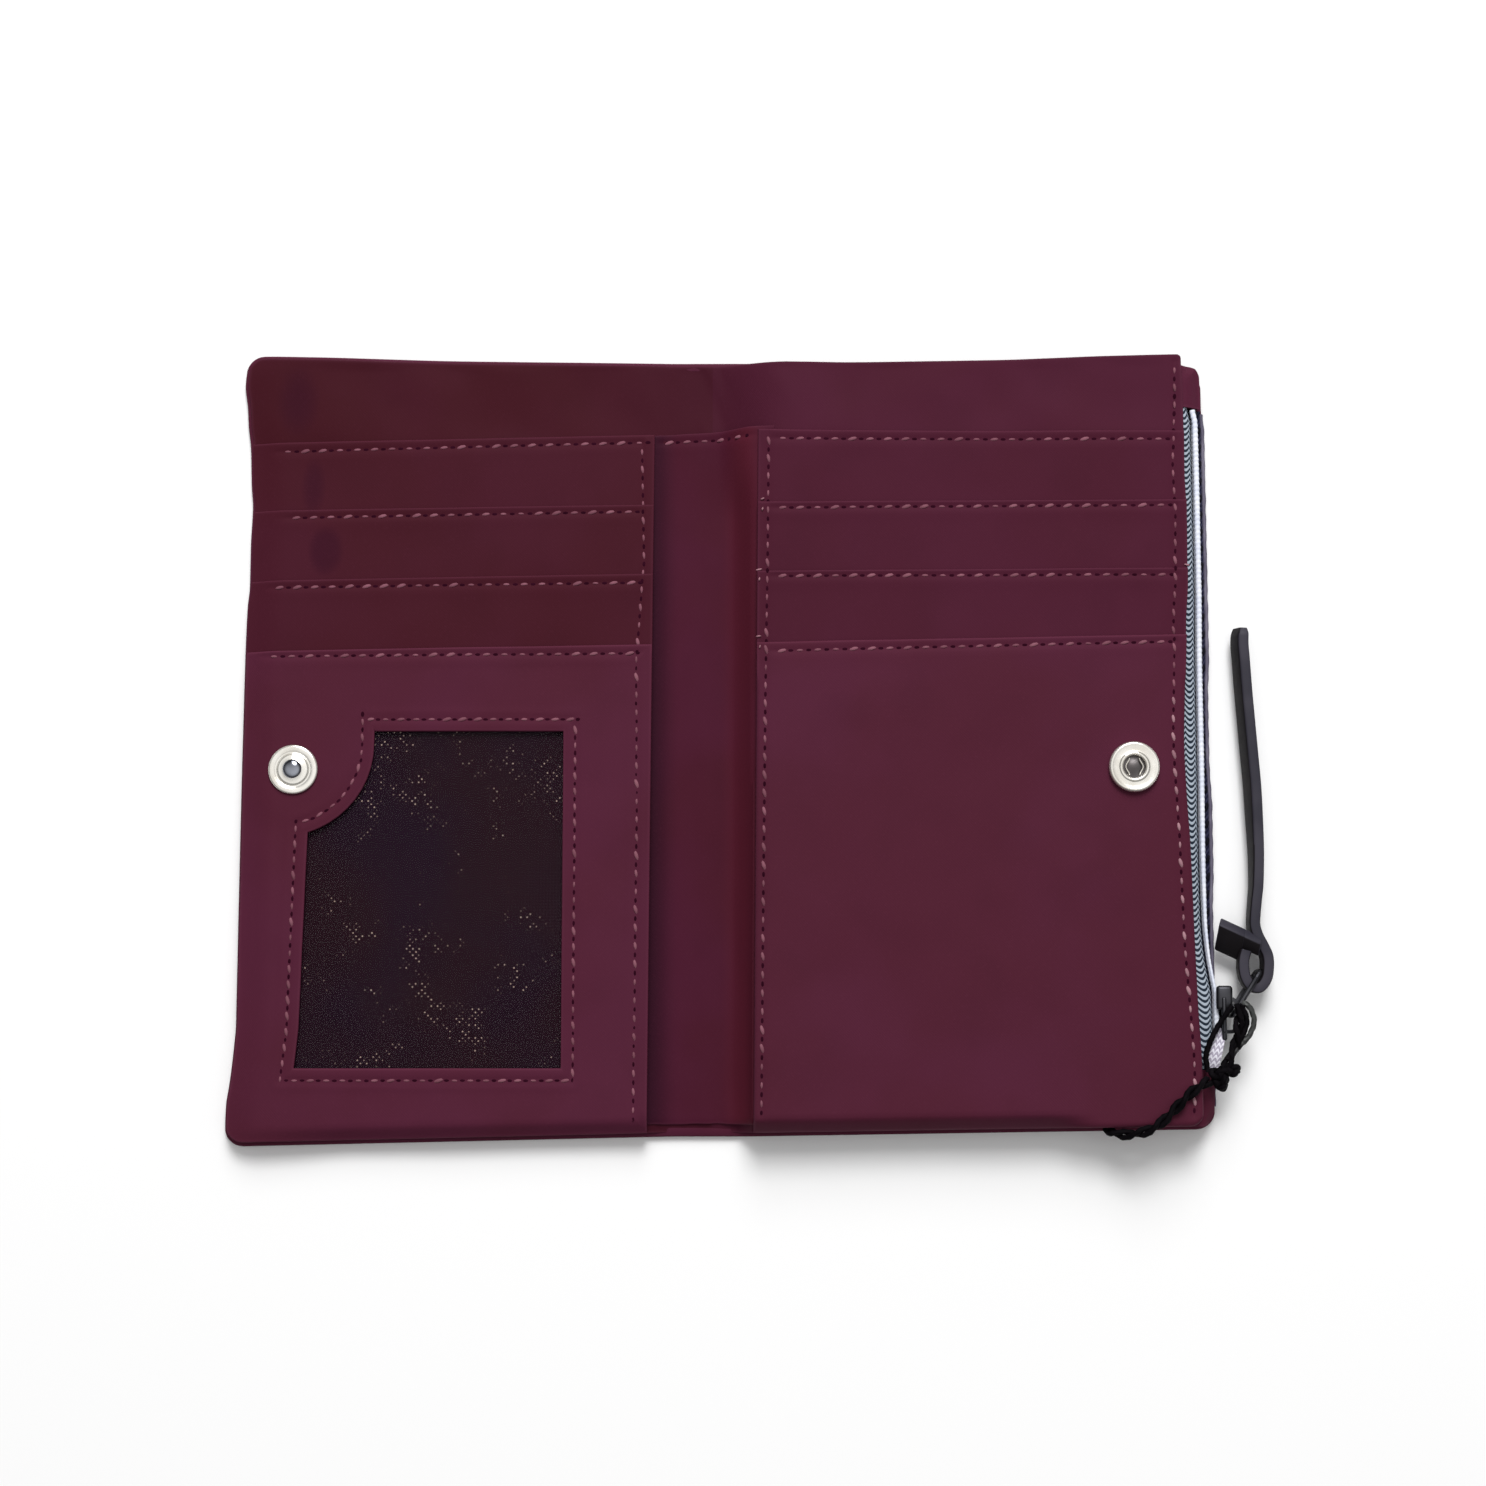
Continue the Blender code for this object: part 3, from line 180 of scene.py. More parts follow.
class Wire:
    """Output socket of a shader node that takes part in Python sums."""

    def __init__(self, maker: "Graph", socket: bpy.types.NodeSocket) -> None:
        """Keep the socket and the node tree that it belongs to."""
        self.maker = maker
        self.socket = socket

    def _sum(self, operation: str, swapped: bool, other: "Wire | float") -> "Wire":
        """Add one Math node; a swapped one takes the other value first."""
        pair = (other, self) if swapped else (self, other)
        return self.maker.node("ShaderNodeMath", {"operation": operation}, dict(enumerate(pair)))

    __add__ = __radd__ = partialmethod(_sum, "ADD", False)
    __sub__ = partialmethod(_sum, "SUBTRACT", False)
    __rsub__ = partialmethod(_sum, "SUBTRACT", True)
    __mul__ = __rmul__ = partialmethod(_sum, "MULTIPLY", False)

    def function(self, operation: str) -> "Wire":
        """A Math function of one value, such as SINE or ABSOLUTE."""
        return self.maker.node("ShaderNodeMath", {"operation": operation}, {0: self})

    def ranged(self, low: float, high: float, first: float = 0.0, second: float = 1.0) -> "Wire":
        """Ease a value from one range to another, held at both ends."""
        return self.maker.node(
            "ShaderNodeMapRange", {"interpolation_type": "SMOOTHSTEP"},
            {"Value": self, "From Min": low, "From Max": high, "To Min": first, "To Max": second})


class Graph:
    """Node tree under construction, of a material or of the sky."""

    def __init__(self, tree: bpy.types.NodeTree, closing: str) -> None:
        """Keep the tree and its closing node."""
        self.tree = tree
        self.closing = tree.nodes[closing]

    def node(self, kind: str, settings: dict | None = None, sockets: dict | None = None,
             output: int | str = 0) -> Wire:
        """Add a node.

        Args:
            kind: Type of the node.
            settings: Its properties.
            sockets: Values or wires of its inputs, by name or number.
            output: Which output to give back.

        Returns:
            The output as a wire.
        """
        made = self.tree.nodes.new(kind)
        for key, value in (settings or {}).items():
            setattr(made, key, value)
        for key, value in (sockets or {}).items():
            if isinstance(value, Wire):
                self.tree.links.new(value.socket, made.inputs[key])
            else:
                made.inputs[key].default_value = value
        return Wire(self, made.outputs[output])

    def drive(self, socket: str, value: Wire) -> None:
        """Link a value that changes to an input of the closing node."""
        self.tree.links.new(value.socket, self.closing.inputs[socket])

    def fix(self, **values: float | tuple) -> None:
        """Set values that are the same all over; an underscore stands for a space."""
        for key, value in values.items():
            self.closing.inputs[key.replace("_", " ")].default_value = value


class Shader(Graph):
    """A material under construction, with one Principled shader."""

    def __init__(self, name: str) -> None:
        """Start the material."""
        self.material = bpy.data.materials.new(name)
        self.material.use_nodes = True
        super().__init__(self.material.node_tree, "Principled BSDF")

    def place(self) -> tuple[Wire, Wire, Wire, Wire]:
        """Object coordinates: the vector and its three parts."""
        vector = self.node("ShaderNodeTexCoord", output="Object")
        parts = [self.node("ShaderNodeSeparateXYZ", None, {0: vector}, axis) for axis in range(3)]
        return vector, *parts

    def speckle(self, scale: float, vector: Wire, detail: float = 2.0) -> Wire:
        """Noise of a scale, from 0 to 1."""
        return self.node("ShaderNodeTexNoise", None,
                         {"Vector": vector, "Scale": scale, "Detail": detail})

    def mix(self, share: Wire | float, first: Wire | Colour, second: Wire | Colour) -> Wire:
        """Mix two colours."""
        sockets = {0: share}
        for key, colour in ((6, first), (7, second)):
            sockets[key] = colour if isinstance(colour, Wire) else (*colour, 1.0)
        return self.node("ShaderNodeMix", {"data_type": "RGBA"}, sockets, 2)

    def bump(self, height: Wire, strength: float, distance: float) -> None:
        """Drive the normal by a height."""
        self.drive("Normal", self.node("ShaderNodeBump", None, {
            "Height": height, "Strength": strength, "Distance": distance}))


@dataclass(frozen=True)
class Twill:
    """Fine matt cloth with a diagonal weave, a painted highlight along its folded edges, darker
    spots, and soft stripes across X of painted shade and blended tone.
    """

    SPOT_COLOUR: ClassVar[Colour] = (0.0330, 0.0035, 0.0140)
    name: str
    colour: Colour
    second: Colour
    # Colour of the painted highlight along folded edges; pale fibre flecks take it too
    folded: Colour
    roughness: float = 0.62
    rib: float = 0.00062
    spots: tuple[tuple[float, float, float, float], ...] = ()
    tone_and_shade_bands: tuple[tuple[float, float, float, Colour], ...] = ()

    def make(self) -> bpy.types.Material:
        """Build the material."""
        shader = Shader(self.name)
        vector, x, y, z = shader.place()
        broad = shader.speckle(26, vector, 3.0).ranged(0.36, 0.64)
        patch = shader.speckle(75, vector, 2.0).ranged(0.45, 0.72)
        tone = shader.mix(broad, self.colour, self.second)
        tone = shader.mix(patch * 0.10, tone, tuple(0.55 * part for part in self.second))
        # Dark spots: on the bill lining they paint the shade where the slack lining sags; on the
        # left strips they are darker patches
        for middle_x, middle_y, half_x, half_y in self.spots:
            far_x, far_y = (x - middle_x) * (1 / half_x), (y - middle_y) * (1 / half_y)
            ring = far_x * far_x + far_y * far_y + broad * 0.5
            tone = shader.mix(ring.ranged(0.35, 1.35, 0.55, 0.0), tone, self.SPOT_COLOUR)
        # Stripes across X: painted shadow and painted light on the spine lining; on the bill lining
        # and divider a blend towards one darker tone at the spine, which paints the fold's soft
        # shade
        for middle_x, half_x, share, shade_colour in self.tone_and_shade_bands:
            gap = ((x - middle_x) * (1 / half_x)).function("ABSOLUTE")
            tone = shader.mix(gap.ranged(0.0, 1.0, share, 0.0), tone, shade_colour)
        fibre = shader.speckle(1900, vector, 3.0)
        turn = math.tau / self.rib
        rib = ((x + y + z) * turn).function("SINE") * 0.5 + 0.5
        cross = ((x - y) * (turn * 0.5)).function("SINE") * 0.5 + 0.5
        weave = rib * 0.7 + rib * cross * 0.3
        tone = shader.mix(weave * 0.10, tone, tuple(0.5 * part for part in self.colour))
        tone = shader.mix(fibre.ranged(0.50, 0.75) * 0.10, tone, self.folded)
        # Painted highlight: the base colour grows paler along folded edges, where the rounded fold
        # catches the light
        edge = shader.node("ShaderNodeAttribute", {"attribute_name": "fold"}, None, "Fac")
        shader.drive("Base Color", shader.mix(edge * 0.45, tone, self.folded))
        shader.drive("Roughness", fibre * 0.12 + (self.roughness - 0.06))
        shader.bump(weave * 0.6 + fibre * 0.7, 0.30, 0.00005)
        shader.fix(Specular_IOR_Level=0.05)
        return shader.material


@dataclass(frozen=True)
class Plain:
    """Even finish with a little mottle in colour, gloss and relief."""

    name: str
    colour: Colour
    second: Colour
    roughness: float
    metallic: float = 0.0
    grain: float = 1400.0
    relief: float = 0.00002
    specular: float = 0.4
    alpha: float = 1.0

    def make(self) -> bpy.types.Material:
        """Build the material."""
        shader = Shader(self.name)
        vector = shader.place()[0]
        fine = shader.speckle(self.grain, vector, 3.0)
        broad = shader.speckle(self.grain / 9, vector, 2.0)
        shader.drive("Base Color", shader.mix(broad.ranged(0.35, 0.65), self.colour, self.second))
        shader.drive("Roughness", fine * 0.16 + (self.roughness - 0.08))
        shader.bump(fine, 0.35, self.relief)
        shader.fix(Metallic=self.metallic, Specular_IOR_Level=self.specular, Alpha=self.alpha)
        return shader.material


@dataclass(frozen=True)
class Net:
    """Dark open net with a few bright threads that catch the light."""

    name: str
    colour: Colour
    second: Colour
    glint: Colour
    pitch: float = 0.00070

    def make(self) -> bpy.types.Material:
        """Build the material."""
        shader = Shader(self.name)
        vector, x, y, _ = shader.place()
        turn = math.pi / self.pitch
        across = (x * turn).function("SINE")
        along = (y * turn).function("SINE")
        knot = (across * along).ranged(0.55, 0.95)
        cluster = shader.speckle(130, vector, 3.0).ranged(0.51, 0.66)
        chance = shader.speckle(700, vector, 0.0).ranged(0.53, 0.62)
        gauze = (across * along).function("ABSOLUTE")
        broad = shader.speckle(30, vector, 2.0).ranged(0.35, 0.65)
        tone = shader.mix(broad, self.colour, self.second)
        tone = shader.mix(gauze * 0.25, tone, tuple(0.35 * part for part in self.colour))
        # Painted glints: bright specks mixed into the base colour at a few knots
        shader.drive("Base Color", shader.mix(knot * cluster * chance * 0.75, tone, self.glint))
        shader.bump(gauze, 0.4, 0.00006)
        shader.fix(Roughness=0.75, Specular_IOR_Level=0.08)
        return shader.material


@dataclass(frozen=True)
class Herringbone:
    """Woven zip tape: slanted ribs that turn back at every column of the weave."""

    name: str
    dark: Colour
    light: Colour
    pitch: float = 1.25
    column: float = 1.05

    def make(self) -> bpy.types.Material:
        """Build the material; its UV map is in millimetres across and along the tape."""
        shader = Shader(self.name)
        place = shader.node("ShaderNodeUVMap", {"uv_map": "tape"})
        across = shader.node("ShaderNodeSeparateXYZ", None, {0: place}, 0)
        along = shader.node("ShaderNodeSeparateXYZ", None, {0: place}, 1)
        wave = (across * (math.pi / (2 * self.column))).function("SINE")
        slant = wave.function("ABSOLUTE") * self.column
        rib = ((along + slant) * (math.tau / self.pitch)).function("SINE") * 0.5 + 0.5
        vector = shader.place()[0]
        tuft = shader.speckle(1500, vector, 2.0)
        weave = (rib * 0.85 + tuft * 0.30).ranged(0.42, 0.76)
        shader.drive("Base Color", shader.mix(weave, self.dark, self.light))
        shader.bump(weave, 0.6, 0.00010)
        shader.fix(Roughness=0.85, Specular_IOR_Level=0.12)
        return shader.material


class Palette:
    """Finishes of the wallet, made when first asked for."""

    FINISHES = (
        Twill("burgundy_twill", (0.0880, 0.0158, 0.0370), (0.0810, 0.0140, 0.0300),
              (0.130, 0.030, 0.058)),
        Twill("left_strip_twill", (0.0640, 0.0096, 0.0205), (0.0590, 0.0084, 0.0165),
              (0.105, 0.023, 0.044), spots=((-0.0903, 0.0582, 0.0034, 0.0080),
                                            (-0.0868, 0.0432, 0.0042, 0.0060))),
        Twill("right_strip_twill", (0.0740, 0.0118, 0.0290), (0.0690, 0.0106, 0.0250),
              (0.112, 0.025, 0.050)),
        # Bill lining: its spot paints the shade where the slack lining sags; its stripe blends it
        # towards one darker tone at the spine, painting the fold's soft shade
        Twill("bill_lining_twill", (0.0580, 0.0082, 0.0165), (0.0530, 0.0070, 0.0130),
              (0.095, 0.021, 0.040), spots=((-0.0943, 0.0774, 0.0060, 0.0095),),
              tone_and_shade_bands=((0.0, 0.034, 0.65, (0.0540, 0.0074, 0.0180)),)),
        # Divider: its stripe blends it towards the same darker tone at the spine, painting the
        # fold's soft shade
        Twill("divider_twill", (0.0760, 0.0125, 0.0310), (0.0700, 0.0110, 0.0255),
              (0.105, 0.024, 0.048), tone_and_shade_bands=((-0.002, 0.024, 0.75, (0.0540, 0.0074, 0.0180)),)),
        # Spine lining: the dark stripe beside the left half paints the shadow that half casts on
        # the spine; the redder stripe paints the light and shade where the lining rises to the
        # right half
        Twill("burgundy_lining", (0.0700, 0.0098, 0.0270), (0.0640, 0.0086, 0.0205),
              (0.100, 0.022, 0.044),
              tone_and_shade_bands=((-0.0138, 0.0068, 0.85, (0.0260, 0.0040, 0.0125)),
                     (0.0072, 0.0060, 0.80, (0.0920, 0.0120, 0.0240)))),
        Plain("pink_thread", (0.250, 0.094, 0.128), (0.175, 0.060, 0.085), 0.60, specular=0.12),
        Plain("bright_thread", (0.40, 0.215, 0.250), (0.28, 0.135, 0.165), 0.60, specular=0.12),
        Plain("pale_thread_end", (0.42, 0.21, 0.25), (0.30, 0.14, 0.17), 0.60, specular=0.12),
        # Dark ellipses at the needle holes: painted shade where the thread dips into the cloth
        Plain("stitch_gap_shade", (0.030, 0.0036, 0.0120), (0.022, 0.0024, 0.0085), 0.90, specular=0.02),
        Plain("black_thread", (0.006, 0.006, 0.012), (0.004, 0.004, 0.008), 0.75, specular=0.1),
        Plain("clear_film", (0.010, 0.003, 0.006), (0.007, 0.002, 0.004), 0.20, specular=0.4,
              alpha=0.10),
        Net("window_net", (0.0190, 0.0036, 0.0092), (0.0140, 0.0028, 0.0130), (0.80, 0.58, 0.48)),
        Plain("nickel", (1.0, 0.97, 0.90), (0.84, 0.80, 0.72), 0.20, 0.75, 1800.0, 0.000004),
        # Darker, patchy copy of the nickel that paints the dark reflections on the stud's head
        Plain("nickel_painted_dark_reflection", (0.42, 0.44, 0.50), (0.03, 0.03, 0.04), 0.14, 1.0, 900.0, 0.000004),
        # Dark copy of the nickel for the socket's floor: painted shade at the bottom of the bore
        Plain("nickel_painted_bore_shade", (0.16, 0.15, 0.15), (0.10, 0.09, 0.09), 0.35, 1.0),
        Plain("gunmetal", (0.070, 0.070, 0.078), (0.040, 0.040, 0.046), 0.44, 1.0, 1100.0,
              0.000006),
        Herringbone("grey_tape", (0.018, 0.028, 0.044), (0.44, 0.50, 0.58)),
        Herringbone("navy_tape", (0.008, 0.009, 0.026), (0.028, 0.028, 0.060)),
        Herringbone("white_tape", (0.46, 0.42, 0.52), (0.88, 0.86, 0.95), 0.8, 0.5),
        Plain("white_coil", (0.90, 0.92, 1.0), (0.78, 0.82, 0.95), 0.45, specular=0.2),
        # Lavender-grey finish that paints the sheen along the burgundy cover's rolled edge
        Plain("edge_painted_sheen", (0.185, 0.168, 0.225), (0.115, 0.102, 0.150), 0.70, specular=0.2,
              relief=0.00006),
        Plain("strap_edge", (0.045, 0.041, 0.056), (0.030, 0.028, 0.040), 0.55, grain=900.0,
              specular=0.2),
        Plain("strap_face", (0.013, 0.010, 0.012), (0.008, 0.006, 0.008), 0.60, grain=700.0,
              relief=0.00005, specular=0.2),
        # Paler, patchy copy of the black cord that paints the sheen along one loop
        Plain("cord_painted_sheen", (0.060, 0.064, 0.062), (0.0060, 0.0050, 0.0060), 0.45, grain=900.0,
              relief=0.00006, specular=0.30),
        Plain("black_cord", (0.0042, 0.0030, 0.0045), (0.0018, 0.0012, 0.0020), 0.75, grain=2600.0,
              relief=0.00006, specular=0.06),
        Plain("board", (0.55, 0.52, 0.47), (0.47, 0.44, 0.39), 0.90),
        Plain("grey_lining", (0.13, 0.14, 0.17), (0.10, 0.11, 0.14), 0.88),
    )

    def __init__(self) -> None:
        """Index the finishes by name."""
        self.known = {finish.name: finish for finish in self.FINISHES}
        self.made: dict[str, bpy.types.Material] = {}

    def get(self, name: str) -> bpy.types.Material:
        """The material of a finish."""
        if name not in self.made:
            self.made[name] = self.known[name].make()
        return self.made[name]


PALETTE = Palette()


def deliver(name: str, shape: bmesh.types.BMesh, finishes: Iterable[str], slot: str,
            replaced: Iterable[str] = (), sharp: float = 40.0,
            body: Body | None = None) -> bpy.types.Object:
    """Turn a finished bmesh into a piece.

    Args:
        name: Name of the piece.
        shape: Its faces, in place; it is freed.
        finishes: Names of its finishes, in the order of the faces' material numbers.
        slot: The record's material slot; it is not used.
        replaced: Nodes of the model that it stands for.
        sharp: Angle in degrees past which an edge shows as a crease.
        body: Body that it rides on, or none to leave it unattached.

    Returns:
        The new object.
    """
    mesh = bpy.data.meshes.new(name)
    for finish in finishes:
        mesh.materials.append(PALETTE.get(finish))
    shape.to_mesh(mesh)
    shape.free()
    mesh.shade_smooth()
    mesh.set_sharp_from_angle(angle=math.radians(sharp))
    piece = bpy.data.objects.new(name, mesh)
    bpy.context.scene.collection.objects.link(piece)
    if replaced:
        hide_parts(*replaced)
    if body:
        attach(piece, body.value)
    LOG.info("%s: %d faces, stands for %s", name, len(mesh.polygons), list(replaced))
    return piece


@dataclass(frozen=True)
class Drape:
    """How the sewn layers lie: their waved outline, soft swell and pinched edges."""

    reach_left: float
    swell_height: float = 0.00042
    swell_span: float = 0.030
    calm_radius: float = 0.0085
    calm_fade: float = 0.0070
    full_height: float = 0.0028
    pinch_width: float = 0.0085
    left_pinch: float = 0.34
    lower_pinch: float = 0.34
    lower_width: float = 0.0042
    calm_spots: tuple[Plan, ...] = ((-0.0932, -0.0068), (0.0932, -0.0068))
    left_wave: tuple[Plan, ...] = (
        (-0.0850, -0.0017), (-0.0808, -0.0016), (-0.0765, -0.0010), (-0.0721, -0.0005),
        (-0.0677, -0.0001), (-0.0633, 0.0002), (-0.0234, 0.0002), (0.0172, 0.0004),
        (0.0309, 0.0007), (0.0355, 0.0011), (0.0447, 0.0011), (0.0539, 0.0014), (0.0585, 0.0010),
        (0.0678, 0.0006), (0.0724, 0.0), (0.0771, -0.0003), (0.0817, -0.0009), (0.0864, -0.0006))
    right_wave: tuple[Plan, ...] = (
        (-0.084, 0.0020), (-0.072, 0.0019), (-0.059, 0.0013), (-0.046, 0.0009), (-0.023, 0.0003),
        (-0.014, -0.0002), (-0.001, -0.0006), (0.010, -0.0002), (0.022, 0.0003), (0.026, 0.0004),
        (0.035, 0.0010), (0.054, 0.0012), (0.060, 0.0010), (0.075, 0.0011), (0.086, 0.0008))
    cover_wave: tuple[Plan, ...] = (
        (-0.081, -0.0006), (-0.070, -0.0003), (-0.037, -0.0003), (-0.025, 0.0002), (-0.014, 0.0),
        (-0.004, -0.0004), (0.010, -0.0004), (0.022, 0.0001), (0.068, 0.0001), (0.077, -0.0004))
    upper_wave: tuple[Plan, ...] = (
        (-0.092, 0.0002), (-0.059, -0.0001), (-0.025, 0.0001), (0.008, 0.0002), (0.020, -0.0002),
        (0.031, -0.0006), (0.065, -0.0006), (0.087, -0.0001), (0.098, 0.0))
    left_from: float = -0.045
    right_from: float = 0.070
    right_to: float = 0.1052
    upper_from: float = 0.058
    upper_to: float = 0.088
    cover_high: float = 0.0023
    cloth_high: float = 0.0062
    left_base: Plan = (0.0029, 0.0031)
    lean_near: Plan = (0.0080, 0.0100)
    lean_far: Plan = (0.012, 0.034)
    spine_slant: float = 0.0072
    spine_shift: float = 0.0001
    spine_calm: float = 0.8
    spine_reach: Plan = (0.008, 0.020)
    zip_calm: Plan = (0.094, 0.101)
    second_swell: float = 0.45
    second_span: float = 2.6
    pinch_right: Plan = (0.074, 0.084)
    pinch_left: Plan = (-0.106, -0.076)
    pinch_corner: float = 0.20

    def shifted(self, x: float, y: float, z: float) -> Plan:
        """Where a place of the flat cut lies in plan."""
        pull = between(x, self.left_from, -self.reach_left) * through(self.left_wave, y)
        high = between(z, self.cover_high, self.cloth_high)
        push = 0.0
        if x > self.right_from:
            wave = high * through(self.right_wave, y) + (1 - high) * through(self.cover_wave, y)
            push = between(x, self.right_from, self.right_to) * wave
        lift = between(y, self.upper_from, self.upper_to) * through(self.upper_wave, x)
        lean = between(abs(x), *self.lean_near) * (1 - between(abs(x), *self.lean_far))
        lean *= high if x > 0 else between(z, *self.left_base)
        lean *= y * self.spine_slant - self.spine_shift
        return x + pull + push + lean, y + lift

    def calm(self, x: float, y: float) -> float:
        """Zero round the snap, where the metal holds the cloth flat, and one away from it."""
        held = 1.0
        for spot_x, spot_y in self.calm_spots:
            gap = math.hypot(x - spot_x, y - spot_y)
            held *= between(gap, self.calm_radius, self.calm_radius + self.calm_fade)
        return held * (1 - between(x, *self.zip_calm))

    def lay(self, x: float, y: float, z: float) -> Vector:
        """Where a point of the flat cut lies in the room."""
        new_x, new_y = self.shifted(x, y, z)
        share = min(1.0, z / self.full_height)
        rise = swell(x, y, self.swell_span, 1.7)
        rise += self.second_swell * swell(x, y, self.swell_span / self.second_span, 5.1)
        rise *= self.swell_height * share * self.calm(x, y)
        rise *= 1 - self.spine_calm * (1 - between(abs(x), *self.spine_reach))
        from_left = 1 - smooth((x + self.reach_left) / self.pinch_width)
        from_low = 1 - smooth((y - lower_edge(x)) / self.lower_width)
        from_low *= 1 - between(x, *self.pinch_right)
        from_low *= self.pinch_corner + (1 - self.pinch_corner) * between(x, *self.pinch_left)
        squeeze = (1 - self.left_pinch * from_left) * (1 - self.lower_pinch * from_low)
        return Vector((new_x, new_y, z * squeeze + rise))


COVER_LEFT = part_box("outer_cover_left")
COVER_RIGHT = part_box("outer_cover_right")
SPINE_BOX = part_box("outer_cover_spine")
WINDOW_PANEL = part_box("window_panel")
FRONT_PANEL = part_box("front_panel_right")
DRAPE = Drape(reach_left=-COVER_LEFT[0].x)

# Half the width of the spine's strip of cover
FOLD_X = SPINE_BOX[1].x


def flare(x: float, inner: float, outer_left: float, outer_right: float) -> float:
    """Edge that runs straight from the spine to both outer corners."""
    if x < -FOLD_X:
        return inner + (outer_left - inner) * (-x - FOLD_X) / (-COVER_LEFT[0].x - FOLD_X)
    if x > FOLD_X:
        return inner + (outer_right - inner) * (x - FOLD_X) / (COVER_RIGHT[1].x - FOLD_X)
    return inner


def upper_edge(x: float) -> float:
    """Top edge of the wallet along X."""
    return flare(x, SPINE_BOX[1].y, COVER_LEFT[1].y, COVER_RIGHT[1].y)


def lower_edge(x: float) -> float:
    """Bottom edge of the wallet along X."""
    return flare(x, SPINE_BOX[0].y - 0.0008, COVER_LEFT[0].y, SPINE_BOX[0].y + 0.0008)


def stepped_edge(x: float) -> float:
    """Top edge of the cover, which steps down past the divider's corner."""
    slant = 0.0004 * between(x, 0.010, 0.090)
    return upper_edge(x) - slant - EDGE_STEP * between(x, *EDGE_STEP_SPAN)


def rounded_end(edge: Line, corner_x: float, radius: float, inset: float, way: int) -> Line:
    """An edge of the wallet, moved inwards and rounded towards a corner.

    Args:
        edge: The edge along X.
        corner_x: Place along X where the sheet ends.
        radius: Radius of the corner.
        inset: Distance from the wallet's edge.
        way: 1 for an upper edge, -1 for a lower one.

    Returns:
        The new edge along X.
    """
    def rounded(x: float) -> float:
        """Edge with its corner."""
        reach = max(0.0, radius - abs(corner_x - x))
        drop = radius - math.sqrt(max(0.0, radius * radius - reach * reach))
        return edge(x) - way * (inset + drop)
    return rounded


def straight(start: Plan, end: Plan) -> Line:
    """Straight line through two places of the plan."""
    slope = (end[1] - start[1]) / (end[0] - start[0])
    return lambda x: start[1] + slope * (x - start[0])


@dataclass(frozen=True)
class Seam:
    """A row of stitches along a line of the plan."""

    points: tuple[Plan, ...]
    closed: bool = False
    groove: float = 0.00016
    groove_width: float = 0.00055
    puff: float = 0.00009
    puff_width: float = 0.0016
    pitch: float = STITCH_PITCH
    bright_below: float = -1.0

    def segments(self) -> list[tuple[Plan, Plan]]:
        """Straight stretches between its points."""
        places = list(self.points)
        if self.closed:
            places.append(places[0])
        return list(zip(places, places[1:]))

    def gap(self, x: float, y: float) -> float:
        """Distance of a place from the seam, or 1 when it is far."""
        nearest = 1.0
        far = 3 * self.puff_width
        for (start_x, start_y), (end_x, end_y) in self.segments():
            if not (min(start_x, end_x) - far < x < max(start_x, end_x) + far
                    and min(start_y, end_y) - far < y < max(start_y, end_y) + far):
                continue
            run_x, run_y = end_x - start_x, end_y - start_y
            share = ((x - start_x) * run_x + (y - start_y) * run_y) / (run_x ** 2 + run_y ** 2)
            share = min(1.0, max(0.0, share))
            aside = x - start_x - run_x * share, y - start_y - run_y * share
            nearest = min(nearest, math.hypot(*aside))
        return nearest

    def press(self, x: float, y: float) -> float:
        """How far the cloth sinks at the thread and swells beside it."""
        gap = self.gap(x, y)
        if gap > 3 * self.puff_width:
            return 0.0
        sunk = self.groove * math.exp(-(gap / self.groove_width) ** 2)
        swollen = self.puff * math.exp(-((gap - self.puff_width) / self.groove_width / 1.6) ** 2)
        return swollen - sunk

    def walk(self) -> list[tuple[Vector, float]]:
        """Places of the stitches, each with its direction."""
        places = []
        carried = self.pitch / 2
        for start, end in self.segments():
            run = Vector(end) - Vector(start)
            turn = math.atan2(run.y, run.x)
            while carried < run.length:
                places.append((Vector(start) + run * (carried / run.length), turn))
                carried += self.pitch
            carried -= run.length
        return places


def pressed(level: float, seams: tuple[Seam, ...]) -> Height:
    """Height of a sheet at one level, drawn in by its seams."""
    return lambda x, y: level + sum(seam.press(x, y) for seam in seams)


class Stations:
    """Rows or columns of a sheet: close together at its borders, even in between."""

    def __init__(self, length: float, step: float) -> None:
        """Choose them for a sheet of a length, at a step in between."""
        self.fine = [row for row in FINE_ROWS if row < length * 0.4]
        self.spans = max(1, round((length - 2 * self.fine[-1]) / step))
        self.count = 2 * len(self.fine) + self.spans - 1

    def at(self, index: int, low: float, high: float) -> float:
        """Place of one of them between two borders."""
        if index < len(self.fine):
            return low + self.fine[index]
        if self.count - index <= len(self.fine):
            return high - self.fine[self.count - index - 1]
        inset = self.fine[-1]
        share = (index - len(self.fine) + 1) / self.spans
        return low + inset + (high - low - 2 * inset) * share


